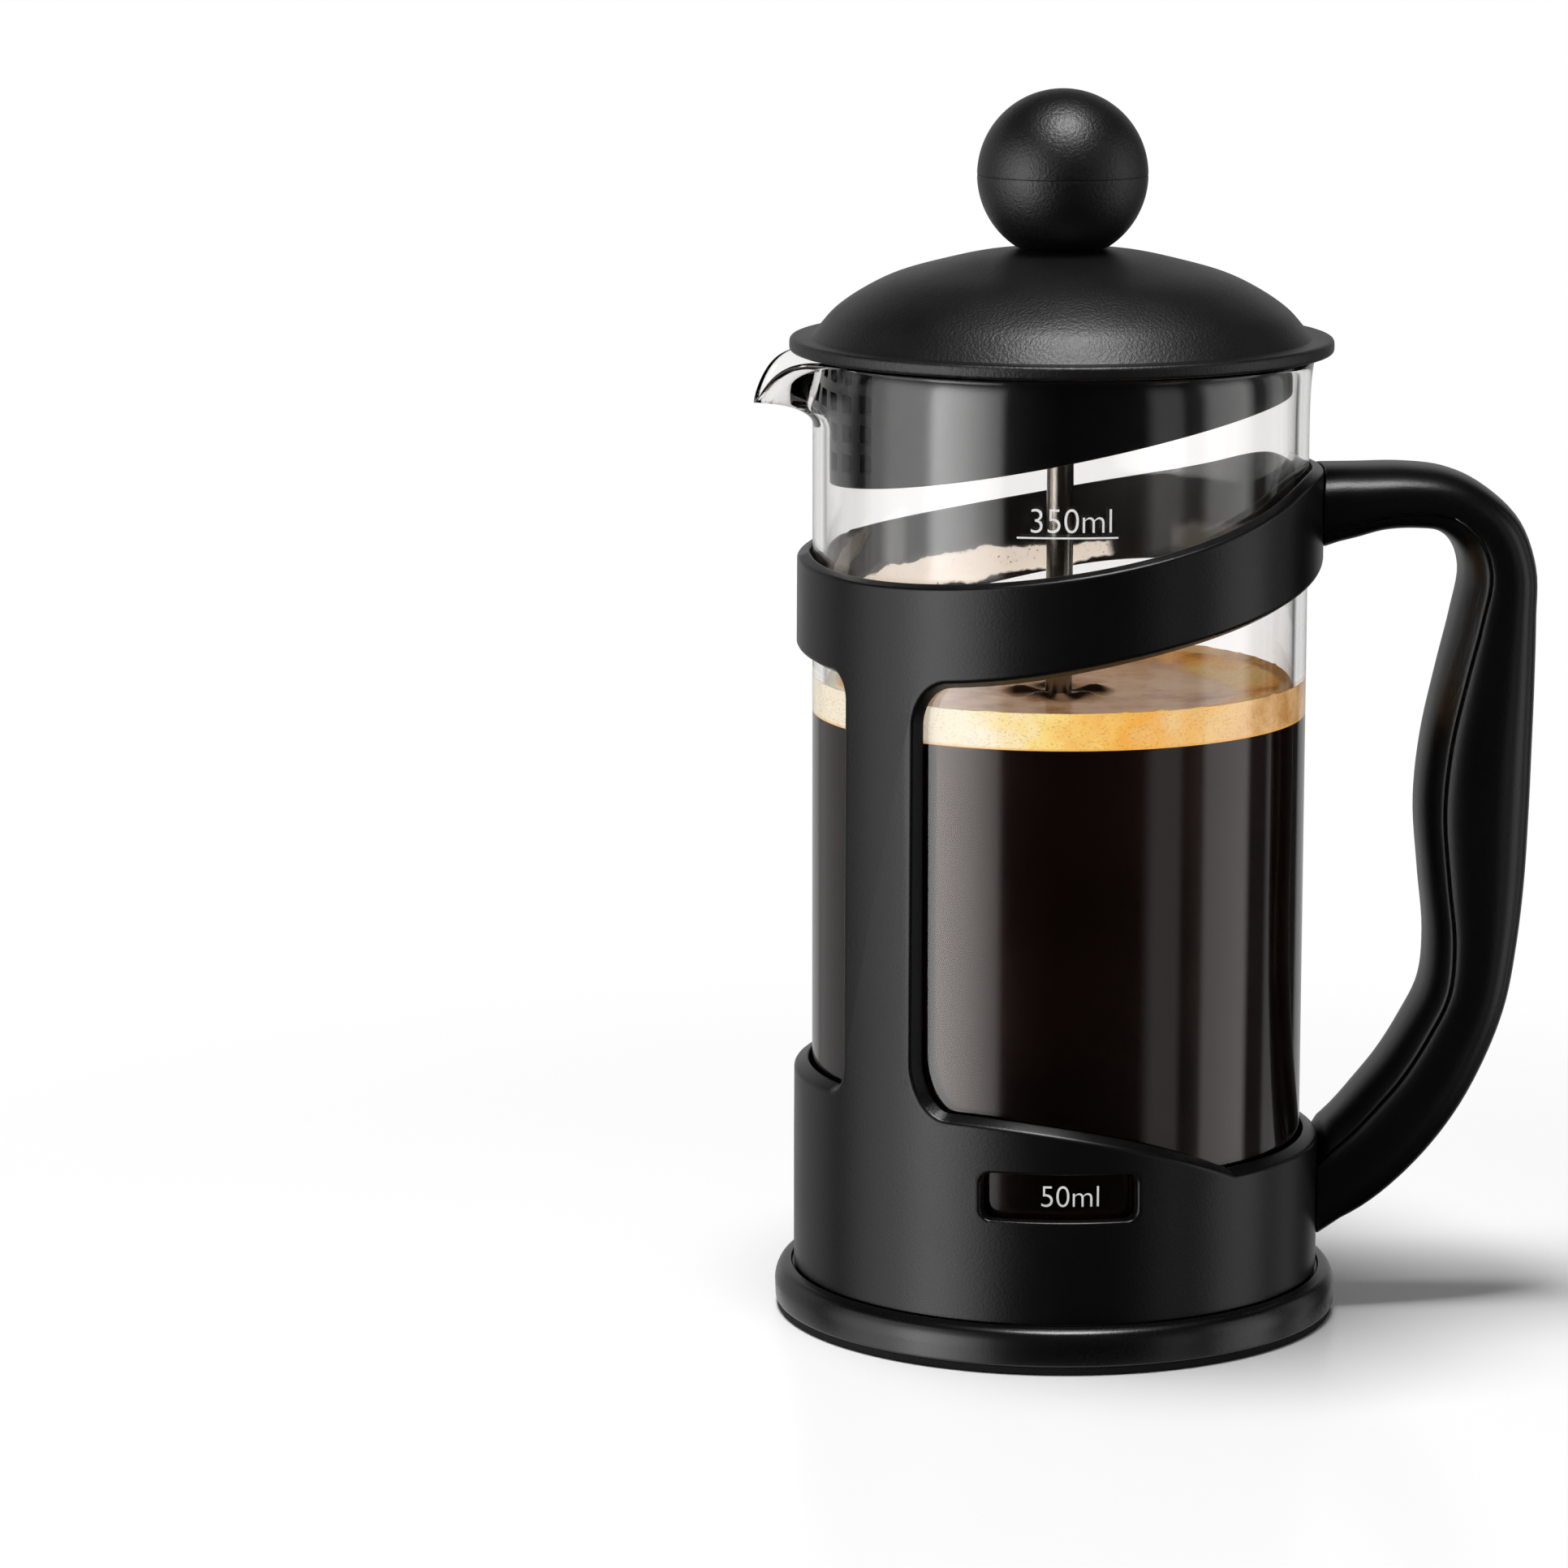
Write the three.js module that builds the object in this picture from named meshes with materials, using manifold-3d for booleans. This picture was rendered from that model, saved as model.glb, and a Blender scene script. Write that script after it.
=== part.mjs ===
// Piston coffee press: glass beaker in a moulded holder, domed lid with a
// strainer skirt, and a plunger with a ball knob and a sprung mesh filter.
// Millimetres, +Z up. The origin is the middle of the resting face under the
// base, +X points to the handle and -X to the pouring spout.

import * as THREE from 'three';
import { mergeVertices } from 'three/addons/utils/BufferGeometryUtils.js';
import Module from 'manifold-3d';

const wasm = await Module();
wasm.setup();

// Driving dimensions of the beaker
const glassDiameter = 70;
const glassWall = 1.9;
const glassFloor = 2.5;
const glassCornerRadius = 5;
const glassHeight = 127;
const glassRimFlare = 0.7;
const glassRimFlareHeight = 2.4;

// Pouring spout of the beaker
const spoutReach = 8.4;
const spoutHalfAngle = 25;
const spoutDrop = 6.3;
const spoutDepth = 10.2;
const spoutGutterDepth = 7.2;
const spoutPlanSharpness = 0.85;
const spoutDropPower = 4;

// Clearances
const fitGap = 0.3;
const beakerClearance = 0.45;
const skirtClearance = 0.5;
const meshClearance = 0.3;
const trayClearance = 1.7;
const cutOverrun = 2;
const weldTolerance = 1e-5;

// Base pad and foot ring
const padThickness = 1.15;
const padInset = 0.4;
const footOverhang = 2.75;
const footHeight = 7.15;
const footLedgeWidth = 7.9;
const footEdgeRadius = 0.9;
const footShoulderRadius = 2.1;
const footSocketDepth = 2.3;

// Holder: cup, two struts and the sloping collar
const cupWall = 2.15;
const collarWall = 1.65;
const cupFloor = 4.2;
const cupEdgeBevel = 0.8;
const spoutRimRise = 29;
const frontRimRise = 28.1;
const rimFall = 8.8;
const collarHeight = 12.4;
const collarFall = 13.8;
const collarBelowGlassTop = 16.1;
const collarBlend = 2.2;
const strutStartAngle = 30.4;
const strutWidthAngle = 19.8;
const windowBevel = 1.1;
const cupCornerWidth = 6.2;
const cupCornerHeight = 8.6;
const collarCornerWidth = 5.6;
const collarCornerHeight = 6.4;
const spoutWindowCorner = 4;

// Angles from the spout that shape the holder's sloping edges
const collarLowAngle = 32;
const collarRiseAngle = 122.5;
const rimFallStartAngle = 60;
const rimFallAngle = 65;

// Reading slot in the cup
const slotWidth = 22.2;
const slotHeight = 6.65;
const slotRise = 14.9;
const slotCorner = 1.5;
const slotAngle = 84;

// Handle
const handleReach = 30.9;
const handleFootRise = 4.3;
const handleWidth = 18;
const handleStripThickness = 2.8;
const handleWall = 2.2;
const handleSectionPower = 2.6;

// Handle screws
const screwShaftRadius = 1.5;
const screwHeadRadius = 2.9;
const screwHeadDepth = 1.3;
const screwLength = 10.5;
const upperScrewShare = 0.96;
const lowerScrewShare = 0.062;
const screwSlotWidth = 0.8;
const screwSlotDepth = 0.7;

// Lid
const lidOverhang = 3.3;
const lidRimThickness = 1.95;
const lidRimRadius = 0.6;
const lidRimLand = 3.1;
const domeRise = 12.3;
const domeSeatWidth = 2.7;
const domeWall = 1.8;

// Strainer skirt
const skirtWall = 1.4;
const skirtSpoutDepth = 17.75;
const skirtHandleDepth = 5.4;
const skirtTuck = 2.15;
const grilleRows = 4;
const grilleColumns = 8;
const grilleHoleWidth = 2.8;
const grilleHoleHeight = 2.5;
const grilleRowPitch = 4.15;
const grilleColumnAngle = 8.6;
const grilleSill = 2.15;
const grilleRecess = 0.45;

// Rod guide in the lid
const guideWall = 1.1;
const guideFlangeWidth = 2.3;
const guideFlangeThickness = 1.4;

// Plunger rod and knob
const rodDiameter = 3.8;
const knobDiameter = 24;
const knobSeatShare = 0.8417;
const knobWall = 3.2;
const knobLipHeight = 1.6;
const insertWall = 1.5;
const insertHeightShare = 0.89;
const insertFlats = 6;

// Filter pack
const filterHeight = 33;
const trayThickness = 0.6;
const trayConeWidth = 5.4;
const trayConeHeight = 4.8;
const trayHoleCount = 6;
const trayCircleShare = 0.623;
const trayHoleShare = 0.691;
const meshThickness = 0.4;
const plateThickness = 0.6;
const plateInset = 3.3;
const plateRimWidth = 2.1;
const plateRimHeight = 1.7;
const plateSeatWidth = 3.1;
const plateConeWidth = 2.8;
const plateConeHeight = 2;
const plateHoleCount = 12;
const plateEdgeWidth = 0.4;
const largeHoleShare = 0.695;
const smallCircleShare = 0.6085;
const smallHoleShare = 0.756;
const springCurls = 46;
const springSeatWidth = 5.1;
const springCoilRadius = 2.75;
const springWireRadius = 0.28;
const springEndGapAngle = 5;
const hubWall = 2.25;
const hubHeight = 11.2;
const hubChamfer = 1.2;
const hubSinkDepth = 2.2;
const hubSinkWidth = 0.9;
const hubFacets = 12;
const lockRingWidth = 2.7;
const lockRingHeight = 1.1;
const studHeadWidth = 2.2;
const studHeadHeight = 0.8;
const studShare = 0.45;

// Fineness of round shapes
const roundSteps = 36;
const smallRoundSteps = 14;
const holeSteps = 9;
const handleStations = 24;
const sectionSteps = 10;
const knobSteps = 20;
const knobArcSteps = 7;
const beakerWallSteps = 4;
const springStepsPerCurl = 8;
const springSides = 5;

// Handle outline as shares, from the upper root round to the lower root.
// Each row: inner reach, inner height, outer reach, outer height. Reach is a
// share of handleReach from the holder's wall, height a share of the handle's
// height from its lowest point.
const handleOutlineShares = [
  [-0.03, 0.895, -0.03, 1.0],
  [0.14, 0.906, 0.17, 1.0],
  [0.275, 0.916, 0.385, 1.0],
  [0.43, 0.918, 0.58, 0.993],
  [0.535, 0.914, 0.74, 0.973],
  [0.618, 0.895, 0.91, 0.929],
  [0.657, 0.861, 0.993, 0.868],
  [0.622, 0.804, 1.0, 0.8],
  [0.56, 0.733, 1.0, 0.719],
  [0.492, 0.643, 0.995, 0.638],
  [0.466, 0.557, 0.987, 0.548],
  [0.492, 0.467, 0.971, 0.454],
  [0.521, 0.386, 0.942, 0.377],
  [0.502, 0.323, 0.893, 0.298],
  [0.417, 0.274, 0.803, 0.227],
  [0.317, 0.229, 0.66, 0.152],
  [0.214, 0.193, 0.466, 0.085],
  [0.107, 0.158, 0.24, 0.032],
  [-0.03, 0.122, -0.03, -0.006],
];
const handleCavityStartShare = 0.2;
const handleCavityEndShare = 0.84;

// Dome outline between its seat and the rim's land, as shares of the width
// between them and of the dome's rise
const domeOutlineShares = [
  [0, 1],
  [0.19, 0.935],
  [0.38, 0.79],
  [0.6, 0.61],
  [0.76, 0.42],
  [0.885, 0.235],
  [0.955, 0.09],
  [1, 0],
];

// Worked-out radii
const glassRadius = glassDiameter / 2;
const glassInnerRadius = glassRadius - glassWall;
const holderInnerRadius = glassRadius + beakerClearance;
const cupRadius = holderInnerRadius + cupWall;
const collarRadius = holderInnerRadius + collarWall;
const footRadius = cupRadius + footOverhang;
const lidRadius = glassRadius + lidOverhang;
const skirtRadius = glassInnerRadius - skirtClearance;
const rodRadius = rodDiameter / 2;
const boreRadius = rodRadius + fitGap;
const guideRadius = boreRadius + guideWall;
const guideFlangeRadius = guideRadius + guideFlangeWidth;
const domeBoreRadius = guideRadius + fitGap;
const domeSeatRadius = domeBoreRadius + domeSeatWidth;
const knobRadius = knobDiameter / 2;
const knobSeatDepth = knobRadius * knobSeatShare;
const insertRadius = boreRadius + insertWall;
const insertHeight = knobSeatDepth * insertHeightShare;
const hubRadius = boreRadius + hubWall;
const hubSinkRadius = boreRadius + hubSinkWidth;
const lockRingRadius = boreRadius + lockRingWidth;
const studHeadRadius = boreRadius + studHeadWidth;
const meshRimRadius = glassInnerRadius - meshClearance;
const springRingRadius = meshRimRadius - springSeatWidth;
const trayRimRadius = glassInnerRadius - trayClearance;
const trayFlatRadius = trayRimRadius - trayConeWidth;
const plateFlatRadius = trayFlatRadius - plateInset;
const plateConeTop = boreRadius + plateSeatWidth;
const plateConeFoot = plateConeTop + plateConeWidth;

// Worked-out heights
const footTop = padThickness + footHeight;
const cupBottom = footTop - footSocketDepth + fitGap;
const cupFloorTop = cupBottom + cupFloor;
const glassBottom = cupFloorTop + fitGap;
const glassTop = glassBottom + glassHeight;
const spoutRimHeight = cupBottom + spoutRimRise;
const frontRimHeight = cupBottom + frontRimRise;
const handleRimHeight = frontRimHeight - rimFall;
const slotBottom = cupBottom + slotRise;
const collarHighTop = glassTop - collarBelowGlassTop;
const collarLowTop = collarHighTop - collarFall;
const handleTop = collarHighTop;
const handleBottom = cupBottom + handleFootRise;
const lidBottom = glassTop + fitGap;
const lidRimTop = lidBottom + lidRimThickness;
const domeTop = lidRimTop + domeRise;
const skirtTop = lidBottom + skirtTuck;
const knobBottom = domeTop + fitGap;
const knobCentre = knobBottom + knobSeatDepth;
const trayTop = filterHeight + trayThickness;
const meshBottom = trayTop + fitGap;
const meshTop = meshBottom + meshThickness;
const plateBottom = meshTop + fitGap;
const plateTop = plateBottom + plateThickness;
const lockRingBottom = plateTop + plateConeHeight + fitGap;
const hubBottom = lockRingBottom + lockRingHeight + fitGap;
const hubTop = hubBottom + hubHeight;

const radians = THREE.MathUtils.degToRad;
const group = new THREE.Group();
group.name = 'piston_coffee_press';

// Finishes
const finishes = {
  holderPlastic: { color: 0x1a1a1b, roughness: 0.45, metalness: 0 },
  lidPlastic: { color: 0x19191a, roughness: 0.6, metalness: 0 },
  glass: { color: 0xe6efee, roughness: 0.04, metalness: 0, transparent: true, opacity: 0.25 },
  rubber: { color: 0x111112, roughness: 0.85, metalness: 0 },
  steel: { color: 0xb8b5ae, roughness: 0.25, metalness: 1 },
  meshSteel: { color: 0x8d8b86, roughness: 0.5, metalness: 1 },
  hubSteel: { color: 0xa39482, roughness: 0.2, metalness: 1 },
};

function addMesh(name, geometry, finish) {
  const mesh = new THREE.Mesh(geometry, new THREE.MeshStandardMaterial(finishes[finish]));
  mesh.name = name;
  group.add(mesh);
  return mesh;
}

// Shared shape helpers

// Welds a geometry, drops triangles of no area and turns its faces outwards.
function weld(geometry) {
  geometry.deleteAttribute('normal');
  geometry.deleteAttribute('uv');
  const welded = mergeVertices(geometry, weldTolerance);
  const place = welded.getAttribute('position');
  const index = welded.getIndex().array;
  const corners = [new THREE.Vector3(), new THREE.Vector3(), new THREE.Vector3()];
  const kept = [];
  let volume = 0;
  for (let i = 0; i < index.length; i += 3) {
    const [a, b, c] = [index[i], index[i + 1], index[i + 2]];
    if (a === b || b === c || c === a) continue;
    corners[0].fromBufferAttribute(place, a);
    corners[1].fromBufferAttribute(place, b);
    corners[2].fromBufferAttribute(place, c);
    volume += corners[0].dot(corners[1].cross(corners[2]));
    kept.push(a, b, c);
  }
  if (volume < 0) kept.reverse();
  welded.setIndex(kept);
  return welded;
}

function toSolid(geometry) {
  const welded = weld(geometry);
  return new wasm.Manifold(new wasm.Mesh({
    numProp: 3,
    vertProperties: Float32Array.from(welded.getAttribute('position').array),
    triVerts: Uint32Array.from(welded.getIndex().array),
  }));
}

function toGeometry(solid) {
  const mesh = solid.getMesh();
  const geometry = new THREE.BufferGeometry();
  geometry.setAttribute('position', new THREE.BufferAttribute(mesh.vertProperties, 3));
  geometry.setIndex(new THREE.BufferAttribute(mesh.triVerts, 1));
  return geometry;
}

// Cuts every tool out of a body.
function cut(body, tools) {
  let solid = toSolid(body);
  for (const tool of tools) solid = solid.subtract(toSolid(tool));
  return toGeometry(solid);
}

// Turns a profile of [radius, height] points about the Z axis.
function turned(profile, steps = roundSteps) {
  const points = profile.map(([radius, height]) => new THREE.Vector2(radius, height));
  return weld(new THREE.LatheGeometry(points, steps).rotateX(Math.PI / 2));
}

function cylinder(radius, bottom, top, steps = holeSteps) {
  return turned([[0, bottom], [radius, bottom], [radius, top], [0, top]], steps);
}

// Points of a quarter round from one angle to another, in degrees.
function arc(centreRadius, centreHeight, radius, fromAngle, toAngle, steps) {
  const points = [];
  for (let i = 0; i <= steps; i += 1) {
    const angle = radians(THREE.MathUtils.lerp(fromAngle, toAngle, i / steps));
    points.push([centreRadius + radius * Math.cos(angle), centreHeight + radius * Math.sin(angle)]);
  }
  return points;
}

// Joins rings of points into a closed skin. An open run gets flat ends, which
// the outline of the first and of the last ring triangulate.
function loft(rings, endOutlines) {
  const count = rings[0].length;
  const positions = rings.flat().flatMap((point) => [point.x, point.y, point.z]);
  const index = [];
  const spans = endOutlines ? rings.length - 1 : rings.length;
  for (let i = 0; i < spans; i += 1) {
    const here = i * count;
    const next = ((i + 1) % rings.length) * count;
    for (let j = 0; j < count; j += 1) {
      const side = (j + 1) % count;
      index.push(here + j, here + side, next + j);
      index.push(next + j, here + side, next + side);
    }
  }
  if (endOutlines) {
    const last = (rings.length - 1) * count;
    const leftHanded = THREE.ShapeUtils.area(endOutlines[0]) < 0;
    for (const [a, b, c] of THREE.ShapeUtils.triangulateShape(endOutlines[0], [])) {
      index.push(a, ...(leftHanded ? [b, c] : [c, b]));
    }
    for (const [a, b, c] of THREE.ShapeUtils.triangulateShape(endOutlines[1], [])) {
      index.push(last + a, ...(leftHanded ? [last + c, last + b] : [last + b, last + c]));
    }
  }
  const geometry = new THREE.BufferGeometry();
  geometry.setAttribute('position', new THREE.Float32BufferAttribute(positions, 3));
  geometry.setIndex(index);
  return weld(geometry);
}

// A point at an angle from the spout, positive towards +Y, round to the handle.
function aroundAxis(angle, radius, height) {
  const turn = radians(angle);
  return new THREE.Vector3(-radius * Math.cos(turn), radius * Math.sin(turn), height);
}

// A block that cuts through the holder's wall between two edges. Each edge is
// a function of the angle, and the block narrows by the bevel at the inside.
function wallCutter(fromAngle, toAngle, steps, lowEdge, highEdge, bevel) {
  const inner = holderInnerRadius - cutOverrun;
  const outer = cupRadius + cutOverrun;
  const bevelAngle = THREE.MathUtils.radToDeg(bevel / holderInnerRadius);
  const rings = [];
  for (let i = 0; i <= steps; i += 1) {
    const share = (1 - Math.cos((Math.PI * i) / steps)) / 2;
    const angle = THREE.MathUtils.lerp(fromAngle, toAngle, share);
    const innerAngle = THREE.MathUtils.lerp(fromAngle + bevelAngle, toAngle - bevelAngle, share);
    const low = lowEdge(angle);
    const high = highEdge(angle);
    rings.push([
      aroundAxis(innerAngle, inner, low + bevel),
      aroundAxis(angle, outer, low),
      aroundAxis(angle, outer, high),
      aroundAxis(innerAngle, inner, Math.max(high - bevel, low + bevel)),
    ]);
  }
  const outline = [[0, 0], [1, 0], [1, 1], [0, 1]].map(([x, y]) => new THREE.Vector2(x, y));
  return loft(rings, [outline, outline]);
}

// How far a rounded corner rises at a distance from a window's side.
function cornerRise(distance, width, height) {
  if (distance >= width) return 0;
  const share = Math.min(1, 1 - distance / width);
  return height * (1 - Math.sqrt(1 - share * share));
}

function smoothMinimum(a, b, blend) {
  const share = THREE.MathUtils.clamp(0.5 + (0.5 * (b - a)) / blend, 0, 1);
  return THREE.MathUtils.lerp(b, a, share) - blend * share * (1 - share);
}

// Angle from the spout, folded so that both sides of the holder are alike.
function foldedAngle(angle) {
  const turn = THREE.MathUtils.euclideanModulo(angle, 360);
  return turn > 180 ? 360 - turn : turn;
}

function arcLength(angle) {
  return radians(angle) * cupRadius;
}

// Sloping edges of the holder, as heights at an angle from the spout
function collarTop(angle) {
  const share = (foldedAngle(angle) - collarLowAngle) / collarRiseAngle;
  const slope = collarLowTop + collarFall * share * share;
  return smoothMinimum(slope, collarHighTop, collarBlend);
}

function collarBottom(angle) {
  return collarTop(angle) - collarHeight;
}

function cupRim(angle) {
  const share = Math.max(0, (foldedAngle(angle) - rimFallStartAngle) / rimFallAngle);
  return Math.max(frontRimHeight - rimFall * share * share, handleRimHeight);
}

// Base pad: the flat disc that the press stands on
function basePad() {
  return cylinder(footRadius - padInset, 0, padThickness, roundSteps);
}

// Foot ring: carries the cup in a shallow socket
function footRing() {
  const socket = cupRadius + fitGap;
  const bore = socket - footLedgeWidth;
  const ledge = footTop - footSocketDepth;
  return turned([
    [bore, padThickness],
    [footRadius - footEdgeRadius, padThickness],
    ...arc(footRadius - footEdgeRadius, padThickness + footEdgeRadius, footEdgeRadius, -90, 0, 2).slice(1),
    ...arc(footRadius - footShoulderRadius, footTop - footShoulderRadius, footShoulderRadius, 0, 90, 4),
    [socket, footTop],
    [socket, ledge],
    [bore, ledge],
    [bore, padThickness],
  ]);
}

// Holder frame: floor, cup, two struts and the sloping collar in one moulding
function holderFrame() {
  const wall = turned([
    [0, cupBottom],
    [cupRadius - cupEdgeBevel, cupBottom],
    [cupRadius, cupBottom + cupEdgeBevel],
    [cupRadius, handleRimHeight],
    [collarRadius, collarHighTop + cutOverrun],
    [holderInnerRadius, collarHighTop + cutOverrun],
    [holderInnerRadius, cupFloorTop],
    [0, cupFloorTop],
  ], roundSteps + smallRoundSteps);

  const topRings = [];
  for (let i = 0; i < roundSteps; i += 1) {
    const angle = (360 * i) / roundSteps;
    const above = collarHighTop + 2 * cutOverrun;
    topRings.push([
      aroundAxis(angle, holderInnerRadius - cutOverrun, collarTop(angle) + windowBevel),
      aroundAxis(angle, cupRadius + cutOverrun, collarTop(angle) - windowBevel),
      aroundAxis(angle, cupRadius + cutOverrun, above),
      aroundAxis(angle, holderInnerRadius - cutOverrun, above),
    ]);
  }

  const strutEnd = strutStartAngle + strutWidthAngle;
  const sideDistance = (angle) => arcLength(foldedAngle(angle) - strutEnd);
  const spoutDistance = (angle) => arcLength(strutStartAngle - foldedAngle(angle));
  const handleWindow = wallCutter(
    strutEnd, 360 - strutEnd, roundSteps,
    (angle) => cupRim(angle) + cornerRise(sideDistance(angle), cupCornerWidth, cupCornerHeight),
    (angle) => collarBottom(angle)
      - cornerRise(sideDistance(angle), collarCornerWidth, collarCornerHeight),
    windowBevel,
  );
  const spoutWindow = wallCutter(
    -strutStartAngle, strutStartAngle, smallRoundSteps,
    (angle) => spoutRimHeight
      + cornerRise(spoutDistance(angle), spoutWindowCorner, spoutWindowCorner),
    (angle) => collarBottom(angle)
      - cornerRise(spoutDistance(angle), spoutWindowCorner, spoutWindowCorner),
    windowBevel,
  );

  const slotHalfAngle = THREE.MathUtils.radToDeg(slotWidth / 2 / cupRadius);
  const slotDistance = (angle) => arcLength(slotHalfAngle - Math.abs(angle + slotAngle));
  const readingSlot = wallCutter(
    -slotAngle - slotHalfAngle, -slotAngle + slotHalfAngle, smallRoundSteps,
    (angle) => slotBottom + cornerRise(slotDistance(angle), slotCorner, slotCorner),
    (angle) => slotBottom + slotHeight - cornerRise(slotDistance(angle), slotCorner, slotCorner),
    0,
  );

  return cut(wall, [
    loft(topRings),
    handleWindow,
    spoutWindow,
    readingSlot,
    ...screwHeights().map(screwPassage),
  ]);
}

// Heights of the two screws, in the handle's upper and lower root
function screwHeights() {
  const height = handleTop - handleBottom;
  return [upperScrewShare, lowerScrewShare].map((share) => handleBottom + height * share);
}

// Turns a profile of [radius, reach] points about a level line along +X.
function turnedAlongX(profile, height, steps) {
  const points = profile.map(([radius, reach]) => new THREE.Vector2(radius, reach));
  const geometry = new THREE.LatheGeometry(points, steps).rotateZ(-Math.PI / 2);
  return weld(geometry.translate(0, 0, height));
}

// Countersunk way for a screw through the holder's wall into the handle
function screwPassage(height) {
  const face = holderInnerRadius;
  const head = screwHeadRadius + fitGap;
  const shaft = screwShaftRadius + fitGap;
  const tip = face + screwLength + fitGap;
  return turnedAlongX([
    [0, face - cutOverrun], [head, face - cutOverrun], [head, face],
    [shaft, face + screwHeadDepth], [shaft, tip], [0, tip],
  ], height, holeSteps);
}

function handleScrew(height) {
  const face = holderInnerRadius + fitGap / 2;
  const shaftStart = face + screwHeadDepth;
  const tip = face + screwLength - fitGap;
  const body = turnedAlongX([
    [0, face], [screwHeadRadius, face], [screwShaftRadius, shaftStart],
    [screwShaftRadius, tip - screwShaftRadius], [0, tip],
  ], height, holeSteps);
  const slot = new THREE.BoxGeometry(2 * screwSlotDepth, screwSlotWidth, 2 * screwHeadRadius + cutOverrun);
  return cut(body, [slot.translate(face, 0, height)]);
}

// Handle stations: middle, direction from inside to outside, and half depth
function handleFrames() {
  const height = handleTop - handleBottom;
  const place = (reach, rise) => new THREE.Vector3(
    collarRadius + reach * handleReach, 0, handleBottom + rise * height,
  );
  const inside = new THREE.CatmullRomCurve3(handleOutlineShares.map((row) => place(row[0], row[1])));
  const outside = new THREE.CatmullRomCurve3(handleOutlineShares.map((row) => place(row[2], row[3])));
  const frames = [];
  for (let i = 0; i <= handleStations; i += 1) {
    const inner = inside.getPoint(i / handleStations);
    const outer = outside.getPoint(i / handleStations);
    const middle = inner.clone().add(outer).multiplyScalar(0.5);
    const outward = outer.clone().sub(inner);
    const halfDepth = outward.length() / 2;
    frames.push({ share: i / handleStations, middle, outward: outward.normalize(), halfDepth });
  }
  return frames;
}

// Half of a rounded section as [depth, side] pairs, from a cut depth outwards
// or inwards. It starts and ends on the cut line.
function sectionArc(halfDepth, halfWidth, cutDepth, outwards, steps) {
  const power = 2 / handleSectionPower;
  const bend = (value) => Math.sign(value) * Math.abs(value) ** power;
  const depthShare = THREE.MathUtils.clamp(cutDepth / halfDepth, -0.999, 0.999);
  const lift = Math.sign(depthShare) * Math.abs(depthShare) ** (1 / power);
  const start = Math.asin(lift);
  const points = [];
  for (let i = 0; i <= steps; i += 1) {
    const end = outwards ? Math.PI - start : -Math.PI - start;
    const angle = THREE.MathUtils.lerp(start, end, i / steps);
    points.push([halfDepth * bend(Math.sin(angle)), halfWidth * bend(Math.cos(angle))]);
  }
  return points;
}

function handleLoft(frames, sectionOf) {
  const outlines = frames.map((frame) => sectionOf(frame));
  const rings = frames.map((frame, i) => outlines[i].map(([depth, side]) => (
    frame.middle.clone().addScaledVector(frame.outward, depth).add(new THREE.Vector3(0, side, 0))
  )));
  const flat = (outline) => outline.map(([depth, side]) => new THREE.Vector2(depth, side));
  return loft(rings, [flat(outlines[0]), flat(outlines[outlines.length - 1])]);
}

// The holder's outer wall with the fit gap, which trims the handle's roots
function holderTrim() {
  return turned([
    [0, -cutOverrun],
    [cupRadius + fitGap, -cutOverrun],
    [cupRadius + fitGap, handleRimHeight],
    [collarRadius + fitGap, collarHighTop + cutOverrun],
    [0, collarHighTop + cutOverrun],
  ], roundSteps + smallRoundSteps);
}

// Handle shell: the outer channel, solid at both roots for the screws
function handleShell() {
  const frames = handleFrames();
  const halfWidth = handleWidth / 2;
  const body = handleLoft(frames, ({ halfDepth }) => sectionArc(
    halfDepth, halfWidth, handleStripThickness + fitGap - halfDepth, true, sectionSteps,
  ));
  const hollow = frames.filter(({ share }) => (
    share >= handleCavityStartShare && share <= handleCavityEndShare
  ));
  const cavity = handleLoft(hollow, ({ halfDepth }) => sectionArc(
    halfDepth - handleWall, halfWidth - handleWall,
    handleStripThickness - halfDepth + fitGap / 2, true, sectionSteps / 2,
  ));
  return cut(body, [cavity, holderTrim(), ...screwHeights().map(screwPassage)]);
}

// Handle strip: closes the channel on the finger side
function handleStrip() {
  const body = handleLoft(handleFrames(), ({ halfDepth }) => sectionArc(
    halfDepth, handleWidth / 2, handleStripThickness - halfDepth, false, sectionSteps / 2,
  ));
  return cut(body, [holderTrim(), ...screwHeights().map(screwPassage)]);
}

// Glass beaker with its pouring spout
function spoutShape(angle) {
  const share = Math.min(1, foldedAngle(angle) / spoutHalfAngle);
  return ((1 + Math.cos(Math.PI * share)) / 2) ** spoutPlanSharpness;
}

// One wall of the beaker above the floor at an angle: inside or outside
function beakerWall(angle, radius, top) {
  const pull = spoutShape(angle);
  const drop = spoutDrop * pull ** spoutDropPower;
  const start = new THREE.Vector2(radius, glassTop - spoutDepth);
  const bend = new THREE.Vector2(
    radius, THREE.MathUtils.lerp(glassTop - glassRimFlareHeight, glassTop - spoutGutterDepth, pull),
  );
  const end = new THREE.Vector2(radius + glassRimFlare + (spoutReach - glassRimFlare) * pull, top - drop);
  const points = [];
  for (let i = 0; i <= beakerWallSteps; i += 1) {
    const share = i / beakerWallSteps;
    const first = start.clone().lerp(bend, share);
    points.push(first.lerp(bend.clone().lerp(end, share), share));
  }
  return points;
}

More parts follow.
